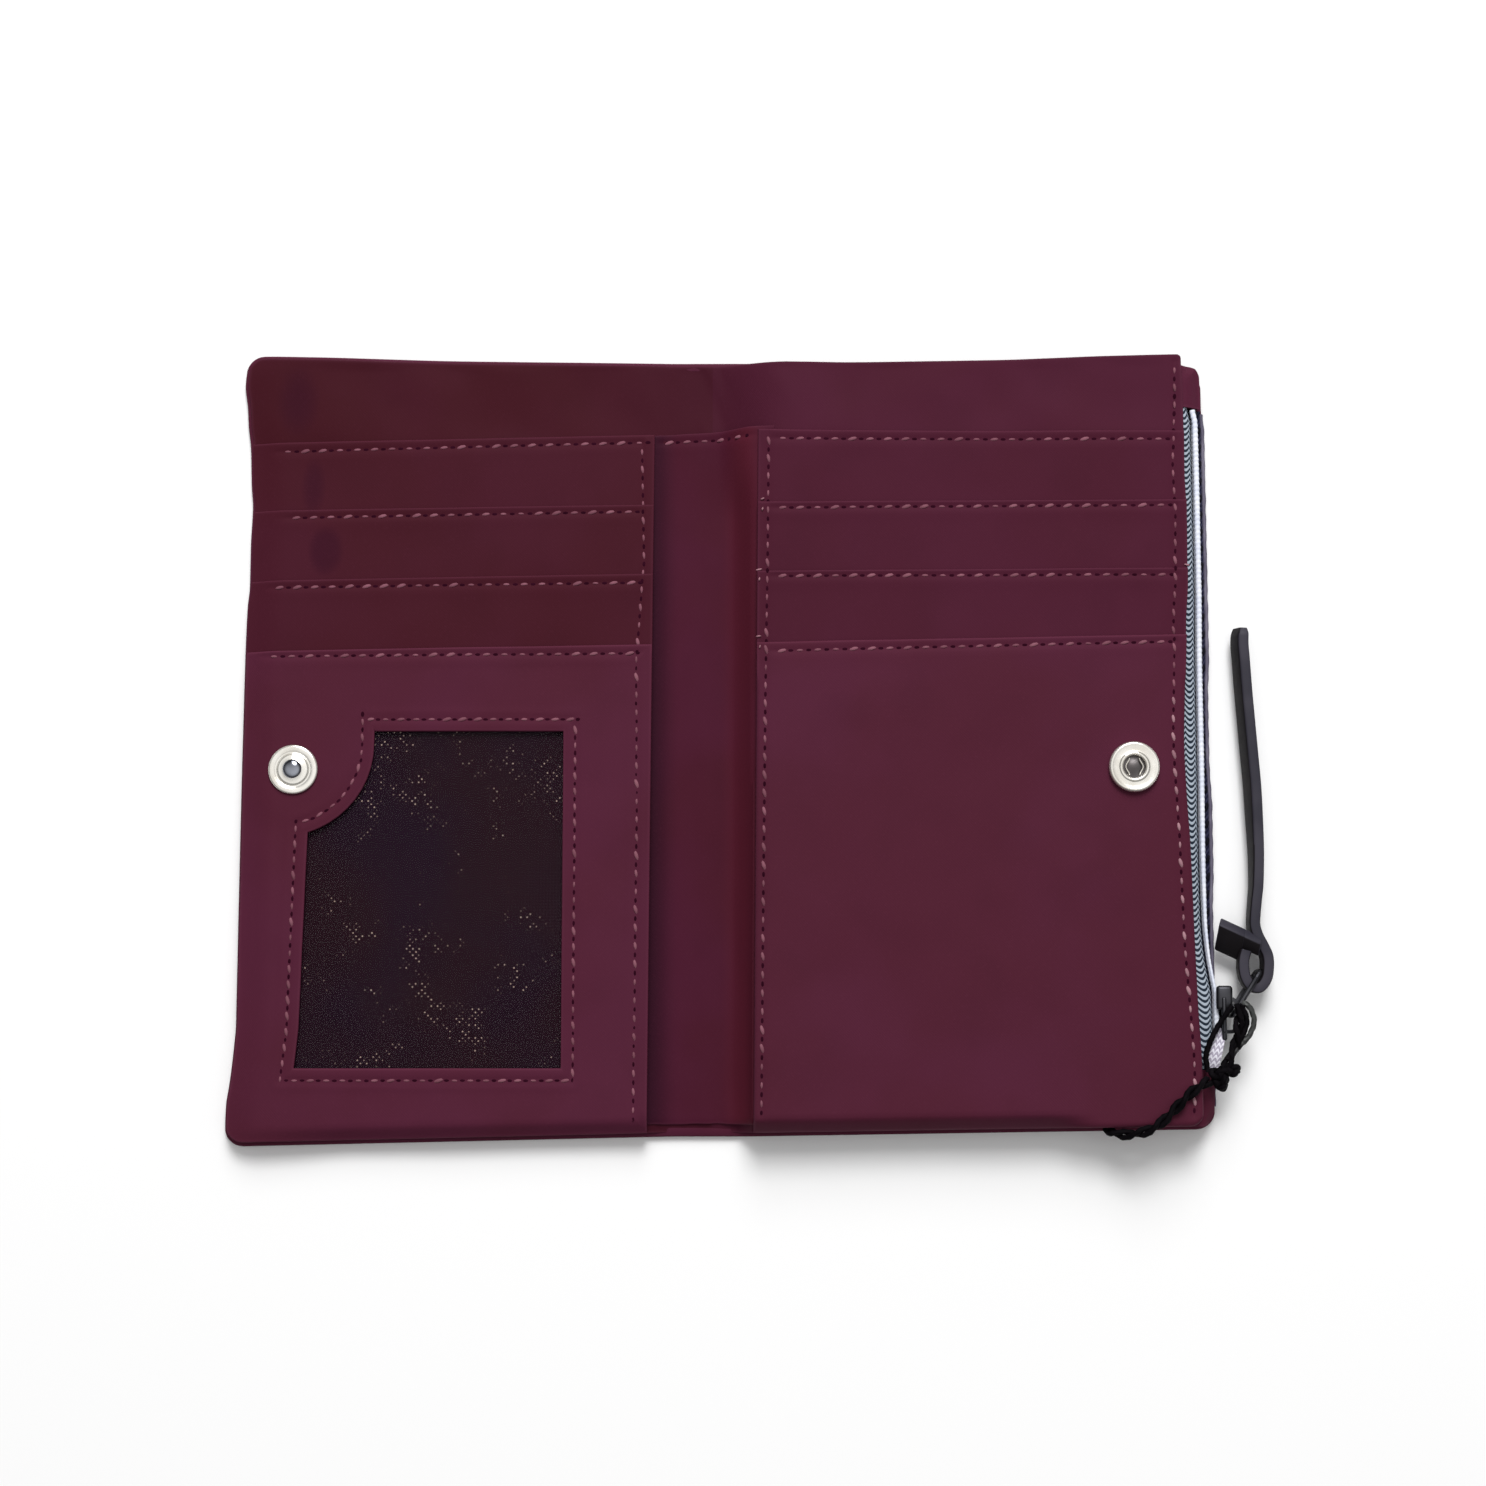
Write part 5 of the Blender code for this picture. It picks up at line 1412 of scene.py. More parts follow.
            def top(x: float, y: float, upper: Line = upper, lower: Line = lower,
                    corner: float = corner) -> float:
                """Upper face, raised along the hem."""
                gap = min(y - lower(x), upper(x) - y, abs(x - corner))
                return self.hem_high - rise * between(gap, hem - 0.0004, hem + 0.0002)

            folds = (Side.UPPER, Side.LOWER, Side.LEFT if is_left else Side.RIGHT)
            cloth = Cloth(left, right, lower, upper, top, lambda x, y: 0.0, folds=folds)
            self.sheet(name, cloth, replaced, is_left, blend, "burgundy_twill")
        self.sew_back()

    def sew_back(self) -> None:
        """Hem stitches that show on the underside of the cover, one row round each half."""
        inset = self.back_inset
        for name, outer, body in (("stitching_back_left", COVER_LEFT[0].x + inset, Body.COVER),
                                  ("stitching_back_right", COVER_RIGHT[1].x - inset, Body.COIN)):
            inner = math.copysign(self.back_start, outer)
            high, low = (lambda x: stepped_edge(x) - inset), (lambda x: lower_edge(x) + inset)
            points = ((inner, high(inner)), (outer, high(outer)), (outer, low(outer)),
                      (inner, low(inner)))
            sewing = Stitching(name)
            sewing.row(Seam(points), lambda x, y: self.back_level, flip=True)
            sewing.finish(body)

    def build_boards(self) -> None:
        """Stiffeners between cover and lining, which follow the lie of the cloth."""
        for name, body in (("stiffener_left", Body.COVER), ("stiffener_right", Body.COIN)):
            low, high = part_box(name)
            inset = self.board_inset
            cloth = Cloth(low.x, high.x, lambda x, low=low: max(low.y, lower_edge(x) + inset),
                          lambda x, high=high: min(high.y, stepped_edge(x) - inset),
                          lambda x, y, high=high: high.z - self.board_under,
                          lambda x, y, low=low: low.z, folds=(), step=self.board_step)
            deliver(name, cloth.build(), ["board"], "board", [name], body=body)

    def build(self) -> None:
        """Make the cover and the linings."""
        self.build_cover()
        self.build_boards()
        self.build_linings()


def smooth_route(route: Iterable[Vector | Place], count: int) -> list[Vector]:
    """Even points on a smooth curve through a given route."""
    places = [Vector(point) for point in route]
    places = [2 * places[0] - places[1]] + places + [2 * places[-1] - places[-2]]
    spans = len(places) - 3
    points = []
    for index in range(count):
        reach = spans * index / (count - 1)
        span = min(int(reach), spans - 1)
        t = reach - span
        a, b, c, d = places[span:span + 4]
        points.append(((2 * b) + (c - a) * t + (2 * a - 5 * b + 4 * c - d) * t ** 2
                       + (3 * b - a - 3 * c + d) * t ** 3) / 2)
    return points


def swept(points: list[Vector], section: Callable[[float, float], Plan], sides: int,
          closed: bool = False) -> bmesh.types.BMesh:
    """Body swept along points.

    Args:
        points: Its centre line.
        section: Place across and up in the section, for a turn and a run along the line.
        sides: Number of sides.
        closed: True for a loop.

    Returns:
        The closed body.
    """
    count = len(points)
    frames = []
    run = 0.0
    for index, here in enumerate(points):
        before = points[index - 1] if closed or index else points[0]
        after = points[(index + 1) % count] if closed or index < count - 1 else points[-1]
        way = (after - before).normalized()
        across = way.cross(UP)
        if across.length < 0.05:
            across = way.cross(Vector((1, 0, 0)))
        across.normalize()
        run += (here - points[index - 1]).length if index else 0.0
        frames.append((here, across, across.cross(way), run))
    if closed:
        frames.append((*frames[0][:3], run + (points[0] - points[-1]).length))
    shape = bmesh.new()
    bmesh.ops.create_grid(shape, x_segments=len(frames) - 1, y_segments=sides, size=0.5)
    for vert in shape.verts:
        here, across, rise, run = frames[round((vert.co.x + 0.5) * (len(frames) - 1))]
        out, lift = section(math.tau * (round((vert.co.y + 0.5) * sides) % sides) / sides, run)
        vert.co = here + across * out + rise * lift
    bmesh.ops.remove_doubles(shape, verts=shape.verts, dist=1e-7)
    ends = [edge for edge in shape.edges if edge.is_boundary]
    if ends and not closed:
        bmesh.ops.holes_fill(shape, edges=ends, sides=0)
    bmesh.ops.recalc_face_normals(shape, faces=shape.faces)
    return shape


def round_section(radius: float) -> Callable[[float, float], Plan]:
    """Round section of a plain wire or cord."""
    return lambda turn, run: (radius * math.cos(turn), radius * math.sin(turn))


def joined(parts: list[bmesh.types.BMesh], numbers: Iterable[int] = ()) -> bmesh.types.BMesh:
    """Put several bodies in one mesh.

    Args:
        parts: The bodies; they are freed.
        numbers: A material number for each, or none to keep those of their faces.

    Returns:
        The whole mesh.
    """
    whole = bmesh.new()
    for part, number in itertools.zip_longest(parts, numbers):
        for face in part.faces:
            face.material_index = face.material_index if number is None else number
        mesh = bpy.data.meshes.new("part")
        part.to_mesh(mesh)
        part.free()
        whole.from_mesh(mesh)
        bpy.data.meshes.remove(mesh)
    return whole


def turned(profile: list[Plan], centre: Vector, steps: int = 64) -> bmesh.types.BMesh:
    """Body of revolution about an upright axis.

    Args:
        profile: Radius and height of its points, from pole to pole.
        centre: Foot of the axis.
        steps: Number of sides.

    Returns:
        The closed body.
    """
    shape = bmesh.new()
    verts = [shape.verts.new((radius, 0, height)) for radius, height in profile]
    edges = [shape.edges.new(pair) for pair in zip(verts, verts[1:])]
    bmesh.ops.spin(shape, geom=verts + edges, cent=(0, 0, 0), axis=(0, 0, 1), dvec=(0, 0, 0),
                   angle=math.tau, steps=steps, use_merge=True, use_duplicate=False)
    bmesh.ops.remove_doubles(shape, verts=shape.verts, dist=1e-6)
    bmesh.ops.translate(shape, verts=shape.verts, vec=centre)
    bmesh.ops.recalc_face_normals(shape, faces=shape.faces)
    return shape


def plank(low: Vector | Place, high: Vector | Place, soft: float) -> bmesh.types.BMesh:
    """Box with rounded edges."""
    low, high = Vector(low), Vector(high)
    shape = bmesh.new()
    bmesh.ops.create_cube(shape, size=1.0)
    bmesh.ops.scale(shape, verts=shape.verts, vec=high - low)
    bmesh.ops.translate(shape, verts=shape.verts, vec=(low + high) / 2)
    bmesh.ops.bevel(shape, geom=shape.edges[:] + shape.verts[:], offset=soft, segments=3,
                    affect="EDGES", profile=0.5, material=-1)
    return shape


@dataclass
class TagCord:
    """Doubled black cord across the bottom corner, and its knot."""

    strand_radius: float = 0.0005
    spacing: float = 0.0013
    twist_pitch: float = 0.0090
    points: int = 60
    fluff: float = 1.22
    lay_pitch: float = 0.0019
    knot_tube: float = 0.00062
    light_strand: tuple[Place, ...] = (
        (114.2, -59.2, 8.9), (111.5, -62.8, 8.9), (109.4, -66.6, 8.7), (108.2, -70.2, 8.7),
        (108.6, -73.6, 9.0)
    )
    double_strand: tuple[Place, ...] = (
        (115.8, -59.0, 9.2), (115.5, -62.3, 9.3), (114.9, -66.7, 9.1), (113.7, -69.9, 9.2),
        (112.2, -72.6, 9.4), (110.6, -74.6, 9.4)
    )
    loops: tuple[tuple[Place, ...], ...] = (
        ((116.4, -58.4, 8.4), (118.1, -59.6, 8.6), (119.0, -62.6, 8.3), (117.7, -65.8, 8.5),
         (115.5, -68.0, 8.9), (113.5, -70.3, 9.2)),
        ((115.6, -58.9, 8.6), (116.8, -60.4, 8.8), (117.3, -62.8, 8.7), (116.3, -65.6, 8.8),
         (114.4, -68.2, 9.1), (112.7, -70.9, 9.4)),
    )
    ends: tuple[tuple[Place, ...], ...] = (
        ((110.6, -73.4, 9.2), (112.5, -72.3, 9.2), (114.1, -72.3, 8.6), (115.3, -73.8, 7.8)),
        ((109.6, -75.2, 9.2), (110.6, -76.7, 8.8), (111.9, -77.3, 8.0), (112.7, -76.2, 7.2))
    )

    def strand(self, side: int) -> list[Vector]:
        """Centre line of one strand, winding round the route."""
        return self.twisted(smooth_route(CORD_ROUTE, self.points), side)

    def twisted(self, route: list[Vector], side: int) -> list[Vector]:
        """One of two lines that wind round a route."""
        points = []
        run = 0.0
        for index, here in enumerate(route):
            before = route[max(index - 1, 0)]
            after = route[min(index + 1, len(route) - 1)]
            way = (after - before).normalized()
            across = way.cross(UP).normalized()
            up = across.cross(way)
            run += (here - route[index - 1]).length if index else 0.0
            turn = math.tau * run / self.twist_pitch
            offset = across * math.cos(turn) + up * math.sin(turn)
            points.append(here + offset * side * self.spacing / 2)
        return points

    def laid_section(self, turn: float, run: float) -> Plan:
        """Section of a strand: three plies that wind as it runs."""
        ply = 1 + 0.12 * math.cos(3 * (turn - math.tau * run / self.lay_pitch / 3))
        size = self.strand_radius * self.fluff * ply
        return size * math.cos(turn), size * math.sin(turn)

    @staticmethod
    def metres(route: Iterable[Place]) -> list[Vector]:
        """Points given in millimetres."""
        return [Vector(point) / 1000 for point in route]

    def tube(self, route: tuple[Place, ...]) -> bmesh.types.BMesh:
        """Single cord along a route given in millimetres."""
        return swept(smooth_route(self.metres(route), 6 * len(route)), self.laid_section, 10)

    def knot(self) -> bpy.types.Object:
        """Overhand knot squeezed into the model's knot, with the loops and ends past it."""
        low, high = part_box("cord_knot")
        middle = (low + high) / 2
        half = (high - low) / 2
        lumps = []
        for centre, size in ((middle, 1.0), (middle + Vector((0.0002, -0.0014, -0.0002)), 0.74),
                             (middle + Vector((0.0030, 0.0012, -0.0004)), 0.62)):
            points = []
            for step in range(60):
                t = math.tau * step / 60
                local = Vector((math.sin(t) + 2 * math.sin(2 * t),
                                math.cos(t) - 2 * math.cos(2 * t), -math.sin(3 * t)))
                points.append(centre + size * Vector((local.x * (half.x - self.knot_tube) / 2.7,
                                                      local.y * (half.y - self.knot_tube) / 2.7,
                                                      local.z * (half.z - self.knot_tube) / 1.05)))
            lumps.append(swept(points, round_section(self.knot_tube), 10, closed=True))
        lumps += [self.tube(route) for route in (self.light_strand, self.loops[1], *self.ends)]
        pair = smooth_route(self.metres(self.double_strand), self.points)
        for side in (1, -1):
            lumps.append(swept(self.twisted(pair, side), self.laid_section, 10))
        # One loop takes the paler copy of the black cord, which paints the sheen along it
        indices = [0] * len(lumps) + [1]
        lumps.append(self.tube(self.loops[0]))
        return deliver("cord_knot", joined(lumps, indices), ["black_cord", "cord_painted_sheen"], "cord",
                       ["cord_knot"], body=Body.COIN)

    def build(self) -> None:
        """Make both strands and the knot."""
        knot = self.knot()
        for name, side in (("tag_cord_1", 1), ("tag_cord_2", -1)):
            points = self.strand(side)
            piece = deliver(name, swept(points, self.laid_section, 12), ["black_cord"], "cord",
                            [name], body=Body.COIN)


@dataclass
class CoinPocket:
    """Corner sheets, gussets and the wall along the spine that close the coin pocket."""

    spine: Spine
    thickness: float = 0.0003
    gusset_margin: float = 0.0005
    gusset_columns: int = 60
    gusset_roof: float = 0.0061
    corner_level: float = 0.0069
    corner_step: float = 0.0010
    side_droop: Plan = (0.1052, 0.1108)
    top_droop: Plan = (0.0810, 0.0866)
    low_droop: Plan = (-0.0868, -0.0795)
    top_drop: float = 0.0026
    side_drop: float = 0.0024
    low_drop: float = 0.0016
    wall_step: float = 0.0020

    def level(self, x: float, y: float) -> float:
        """Upper face of the corner sheets, which droop over the outer corners."""
        side = between(x, *self.side_droop)
        if y > 0:
            end = between(y, *self.top_droop)
            return self.corner_level - self.top_drop * max(side, end * between(x, 0.1040, 0.1080))
        end = 1 - between(y, *self.low_droop)
        low_end = self.low_drop * end * between(x, 0.1035, 0.1080) * (1 - 0.5 * side)
        return self.corner_level - self.side_drop * side - low_end

    def corner(self, name: str, upper_one: bool) -> None:
        """One corner sheet with its turned edge towards the zip."""
        low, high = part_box(name)
        if upper_one:
            lower: Line = lambda x: low.y - 0.0004
            right = high.x - 0.0003
            upper = rounded_end(stepped_edge, right, 0.0030, 0.0006, 1)
        else:
            right = high.x - 0.0012
            lower = rounded_end(lower_edge, right, 0.0036, 0.0008, -1)
            upper: Line = lambda x: high.y + 0.0002
        folds = (Side.LOWER, Side.RIGHT, Side.UPPER)
        cloth = Cloth(low.x, right, lower, upper, self.level,
                      lambda x, y: self.level(x, y) - self.thickness, folds=folds,
                      step=self.corner_step)
        deliver(name, cloth.build(), ["burgundy_twill"], "nylon", [name], body=Body.COIN)

    def roof(self, x: float, y: float) -> float:
        """Highest level that a gusset may take under the sheets that cover it."""
        return min(self.gusset_roof, self.level(x, y) - self.thickness - self.gusset_margin,
                   self.spine.lining_level(x, y) - self.spine.thickness - self.gusset_margin)

    def gusset(self, name: str, upper_one: bool) -> None:
        """Pleated end wall: two leaves that meet in an inward fold."""
        low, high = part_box(name)
        outer, inner = (high.y, low.y) if upper_one else (low.y, high.y)
        leaves = [(outer, 1.0), ((outer + inner) / 2, 0.80), (inner, 0.56), (inner, 0.46),
                  ((outer + inner) / 2, 0.20), (outer, 0.0)]

        def place(column: int, row: int, way: int) -> Vector:
            """A point of the pleat."""
            x = low.x + (high.x - low.x) * column / (self.gusset_columns - 1)
            y, share = leaves[row]
            edge = stepped_edge(x) - 0.0019 if upper_one else lower_edge(x) + 0.0021
            y = min(y, edge) if upper_one else max(y, edge)
            floor = low.z + 0.0001
            z = floor + (self.roof(x, y) - floor - self.thickness) * share
            return DRAPE.lay(x, y, z + (self.thickness if way > 0 else 0.0))

        shape = mapped_shell(self.gusset_columns, len(leaves), place)
        deliver(name, shape, ["burgundy_lining"], "nylon", [name], body=Body.COIN)

    def wall(self) -> None:
        """Folded wall beside the spine."""
        name = "coin_gusset_fold"
        low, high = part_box(name)
        roof: Height = lambda x, y: min(
            high.z, self.spine.lining_level(x, y) - self.spine.thickness - self.gusset_margin)
        cloth = Cloth(low.x, high.x, lambda x: low.y, lambda x: high.y, roof, lambda x, y: low.z,
                      folds=(), step=self.wall_step)
        deliver(name, cloth.build(), ["burgundy_lining"], "nylon", [name], body=Body.COIN)

    def build(self) -> None:
        """Make every piece."""
        for kind, make in (("zip_corner", self.corner), ("coin_gusset", self.gusset)):
            make(f"{kind}_top", True)
            make(f"{kind}_bottom", False)
        self.wall()


@dataclass
class Zip:
    """Zip along the outer edge: woven tapes, coils, stops and the bound edge of the cover."""

    shift_knots: tuple[Plan, ...] = (
        (-0.0760, 0.0012), (-0.0700, 0.0018), (-0.0630, 0.0023), (-0.0570, 0.0022),
        (-0.0525, 0.0015), (-0.0480, 0.0008), (-0.0400, 0.0002), (-0.0250, 0.0), (-0.0050, 0.0001),
        (0.0150, 0.0001), (0.0350, 0.0003), (0.0500, 0.0003), (0.0720, 0.0002), (0.0757, -0.0004)
    )
    coil_sizes: tuple[Plan, ...] = (
        (-0.0750, 0.60), (-0.0680, 0.70), (-0.0625, 0.92), (-0.0580, 0.70), (-0.0510, 0.46),
        (-0.0420, 0.58), (-0.0250, 0.80), (0.0, 0.90), (0.0757, 0.93)
    )
    coil_sides: int = 12
    coil_step: float = 0.00019
    coil_past: float = 0.0022
    thickness: float = 0.00032
    tape_bend: float = 0.0018
    lower_level: float = 0.00222
    loop_pitch: float = 0.00112
    loop_depth: float = 0.13
    tape_row: float = 0.00055
    binding_half_width: float = 0.00062
    binding_high: float = 0.00255
    binding_steps: int = 220
    binding_from: float = 0.0058
    binding_to: float = 0.0750
    binding_wave: float = 0.00016
    dot_pitch: float = 0.0039
    dot_level: float = 0.00262
    dot_size: Vector = Vector((0.00105, 0.00042, 0.00028))
    dot_turn: float = math.radians(78)
    tab_sheet: float = 0.00030
    tab_level: float = 0.0061
    tab_bow: float = 0.0009
    tab_slant: float = 0.0004
    tab_weave: Plan = (0.38, 0.36)
    tab_corners: tuple[Plan, ...] = (
        (0.1132, -0.0640), (0.1113, -0.0640), (0.1079, -0.0730), (0.1112, -0.0730)
    )

    def __post_init__(self) -> None:
        """Read the boxes of the model's zip."""
        self.upper_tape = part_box("zip_tape_upper")
        self.upper_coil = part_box("zip_coil_upper")
        self.lower_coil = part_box("zip_coil_lower")
        self.coil_x = (self.upper_coil[0].x + self.upper_coil[1].x) / 2
        self.radius = (self.upper_coil[1].x - self.upper_coil[0].x) / 2

    def shift(self, y: float) -> float:
        """How far the chain bulges outwards."""
        return through(self.shift_knots, y)

    def strip(self, name: str, path: list[Plan], share: Line, finish: str) -> None:
        """Woven tape with a bent section.

        Args:
            name: Name of the piece and of the model's node.
            path: Section from the sewn edge to the chain, in X and Z.
            share: How much of the bulge a place of the section takes, from its run.
            finish: Its finish.
        """
        low, high = (corner.y for corner in self.upper_tape)
        section, runs = [Vector(point) for point in path], [0.0]
        for before, here in zip(section, section[1:]):
            runs.append(runs[-1] + (here - before).length)
        rows = round((high - low) / self.tape_row)

        def place(column: int, row: int, way: int) -> Vector:
            """A point of the tape."""
            before, after = section[max(column - 1, 0)], section[min(column + 1, len(section) - 1)]
            normal = Vector((-(after - before).y, (after - before).x)).normalized()
            here = section[column] + normal * way * self.thickness / 2
            y = low + (high - low) * row / rows
            return Vector((here.x + self.shift(y) * share(runs[column] / runs[-1]), y, here.y))

        shape = mapped_shell(
            len(section), rows + 1, place,
            woven=lambda column, row: (runs[column] * 1000, 1000 * (high - low) * row / rows))
        deliver(name, shape, [finish], "tape", [name], body=Body.COIN)

    def tapes(self) -> None:
        """Both tapes."""
        low, high = self.upper_tape
        flat = high.z - self.thickness / 2
        standing = high.x - self.thickness / 2
        bend = self.tape_bend
        path = [(low.x + (standing - bend - low.x) * step / 7, flat) for step in range(8)]
        path += [(standing - bend + bend * math.sin(math.pi / 2 * step / 5),
                  flat - bend + bend * math.cos(math.pi / 2 * step / 5)) for step in range(1, 5)]
        path += [(standing, flat - bend), (standing, low.z)]
        self.strip("zip_tape_upper", path, lambda run: between(run, 0.15, 0.75), "grey_tape")
        edge, lying = COVER_RIGHT[1].x, self.lower_level
        path = [(edge - 0.0008 - 0.0026 * step / 5, lying) for step in range(6)]
        path += [(standing + 0.0003, lying + 0.0003), (standing, lying + 0.0008),
                 (standing, self.lower_coil[1].z)]
        self.strip("zip_tape_lower", path, lambda run: between(run, 0.45, 0.8), "navy_tape")

    def coil(self, name: str, height: float, phase: float) -> None:
        """One nylon coil, whose loops swell and narrow along it."""
        low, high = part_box(name)
        length = high.y + self.coil_past - low.y
        count = round(length / self.coil_step)
        points = []
        for step in range(count + 1):
            y = low.y + length * step / count
            points.append(Vector((self.coil_x + self.shift(y), y, height)))

        def section(turn: float, run: float) -> Plan:
            """Oval section of a loop."""
            beat = math.cos(math.tau * run / self.loop_pitch + turn * 0.5 + phase)
            size = self.radius * through(self.coil_sizes, low.y + run)
            size *= 1.02 - self.loop_depth * (0.5 - 0.5 * beat)
            return size * math.cos(turn), size * math.sin(turn)

        deliver(name, swept(points, section, self.coil_sides), ["white_coil"], "coil", [name],
                body=Body.COIN)

    def stops(self) -> None:
        """Crimped stops at both ends of the chain, one bent round each side of it."""
        for name in ("zip_stop_bottom", "zip_stop_top"):
            low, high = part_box(name)
            middle = (low.y + high.y) / 2
            shift = Vector((self.shift(middle), 0, 0))
            roof = high.z if name == "zip_stop_bottom" else self.upper_coil[0].z
            parts = [
                plank(Vector((low.x, low.y, low.z)) + shift,
                      Vector((high.x, high.y, roof)) + shift, 0.00030),
                plank(Vector((low.x + 0.0002, low.y + 0.0006, low.z)) + shift,
                      Vector((high.x + 0.00012, high.y - 0.0006, roof - 0.0002)) + shift, 0.00010),
            ]
            deliver(name, joined(parts, [0, 0]), ["gunmetal"], "gunmetal", [name], body=Body.COIN)

    def binding(self) -> None:
        """Rolled edge of the cover beside the zip, and the black stitches in front of it."""
        edge = COVER_RIGHT[1].x + 0.0002 - self.binding_half_width
        low, high = SPINE_BOX[0].y + self.binding_from, self.binding_to
        points = []
        for step in range(self.binding_steps + 1):
            y = low + (high - low) * step / self.binding_steps
            ripple = self.binding_wave * swell(0.0, y, 0.0032, 7.7)
            x = edge + min(0.0, through(DRAPE.cover_wave, y)) + ripple * 0.3
            points.append(Vector((x, y, self.binding_high / 2 + 0.00005 + ripple / 2)))

        def section(turn: float, run: float) -> Plan:
            """Flattened round."""
            wide = self.binding_half_width * (1 + 0.10 * math.sin(run / 0.0041 * math.tau))
            return wide * math.cos(turn), (self.binding_high / 2) * math.sin(turn)

        # Its lavender-grey finish paints the sheen along the cover's rolled edge; the cloth itself
        # is burgundy
        deliver("cover_rolled_edge_sheen", swept(points, section, 14), ["edge_painted_sheen"], "tape",
                body=Body.COIN)
        dots = bmesh.new()
        y = low + 0.004
        while y < high - 0.003:
            x = edge + min(0.0, through(DRAPE.cover_wave, y)) - self.binding_half_width - 0.00018
            add_ball(dots, Vector((x, y, self.dot_level)), self.dot_size, self.dot_turn, 0)
            y += self.dot_pitch
        deliver("zip_seam_stitches", dots, ["black_thread"], "tape", sharp=60, body=Body.COIN)

    def tab(self) -> None:
        """White woven end of the zip tape, which sticks out under the knot."""
        corners = [Vector(point) for point in self.tab_corners]
        columns, rows = 8, 16

        def place(column: int, row: int, way: int) -> Vector:
            """A point of the tab."""
            across, along = column / (columns - 1), row / (rows - 1)
            start = corners[1].lerp(corners[0], across)
            end = corners[2].lerp(corners[3], across)
            here = start.lerp(end, along)
            height = self.tab_level + self.tab_bow * math.sin(math.pi * along)
            height += self.tab_slant * across
            return Vector((here.x, here.y, height + (self.tab_sheet if way > 0 else 0.0)))

        wide, tall = self.tab_weave
        shape = mapped_shell(columns, rows, place,
                             woven=lambda column, row: (column * wide, row * tall))
        deliver("zip_tape_end", shape, ["white_tape"], "tape", sharp=70, body=Body.COIN)

    def build(self) -> None:
        """Make every piece."""
        self.tapes()
        for name in ("zip_coil_upper", "zip_coil_lower"):
            low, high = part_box(name)
            self.coil(name, (low.z + high.z) / 2, 0.0 if name.endswith("upper") else math.pi)
        self.stops()
        self.binding()
        self.tab()


@dataclass
class Snap:
    """Press snap: ball stud on the cover half, socket ring on the coin half."""

    head_reach: float = 0.0024
    spring_wire: float = 0.00016

    @staticmethod
    def measures(node: str) -> tuple[Vector, float, float]:
        """Foot of the axis, radius and height of a half."""
        low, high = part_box(node)
        centre = Vector(((low.x + high.x) / 2, (low.y + high.y) / 2, low.z))
        return centre, (high.x - low.x) / 2, high.z - low.z

    def stud(self) -> None:
        """Stud with a grooved flange and a round head."""
        centre, rim, tall = self.measures("snap_stud")
        head = [(0.00212 * math.cos(turn), tall - 0.00078 + 0.00078 * math.sin(turn))
                for turn in (math.pi / 2 * step / 7 for step in range(7, -1, -1))]
        head[0] = (0.0, tall)
        profile = head + [
            (0.00205, tall - 0.00100), (0.00172, tall - 0.00125), (0.00168, 0.00085),
            (0.00185, 0.00072), (0.00305, 0.00066), (0.00340, 0.00058), (0.00352, 0.00036),
            (0.00362, 0.00026), (0.00385, 0.00024), (0.00405, 0.00034), (0.00440, 0.00048),
            (0.00500, 0.00050), (rim - 0.00020, 0.00042), (rim - 0.00004, 0.00026),
            (rim, 0.00012), (rim - 0.00010, 0.0), (0.0, 0.0)]
        shape = turned(profile, centre)
        # The head takes the darker nickel, whose mottle paints its dark reflections
        for face in shape.faces:
            middle = face.calc_center_median() - centre
            on_head = middle.xy.length < self.head_reach and middle.z > 0.00050
            face.material_index = 1 if on_head else 0
        deliver("snap_stud", shape, ["nickel", "nickel_painted_dark_reflection"], "nickel", ["snap_stud"], sharp=50,
                body=Body.COVER)

    def socket(self) -> None:
        """Socket with a dished face, left bare, and a spring of two wires in its bore."""
        centre, rim, tall = self.measures("snap_socket")
        profile = [
            (0.00250, 0.00010), (0.00250, tall - 0.00042), (0.00258, tall - 0.00016),
            (0.00278, tall - 0.00003), (0.00300, tall), (0.00322, tall - 0.00006),
            (0.00335, tall - 0.00022), (0.00350, tall - 0.00028), (0.00460, tall - 0.00024),
            (0.00485, tall - 0.00014), (0.00510, tall - 0.00008), (0.00535, tall - 0.00020),
            (rim - 0.00008, tall - 0.00042), (rim, tall - 0.00068), (rim, 0.00020),
            (rim - 0.00012, 0.0), (0.00260, 0.0), (0.00250, 0.00010)]
        parts = [turned(profile, centre)]
        floor = [(0.0, 0.00030), (0.0009, 0.00034), (0.0013, 0.00022), (0.00247, 0.00014),
                 (0.00249, 0.00002), (0.0, 0.00002)]
        parts.append(turned(floor, centre, 40))
        for side in (1, -1):
            points = [centre + Vector((side * (0.00150 + 0.0004 * math.cos(math.pi * t)),
                                       0.0019 * t, 0.00075)) for t in
                      (step / 6 - 1 for step in range(13))]
            parts.append(swept(points, round_section(self.spring_wire), 8))
        # The bore's floor takes the dark nickel, which paints the shade at the bottom of the bore
        deliver("snap_socket", joined(parts, [0, 1, 0, 0]), ["nickel", "nickel_painted_bore_shade"], "nickel",
                ["snap_socket"], sharp=50, body=Body.COIN)

    def build(self) -> None:
        """Make both halves."""
        self.stud()
        self.socket()


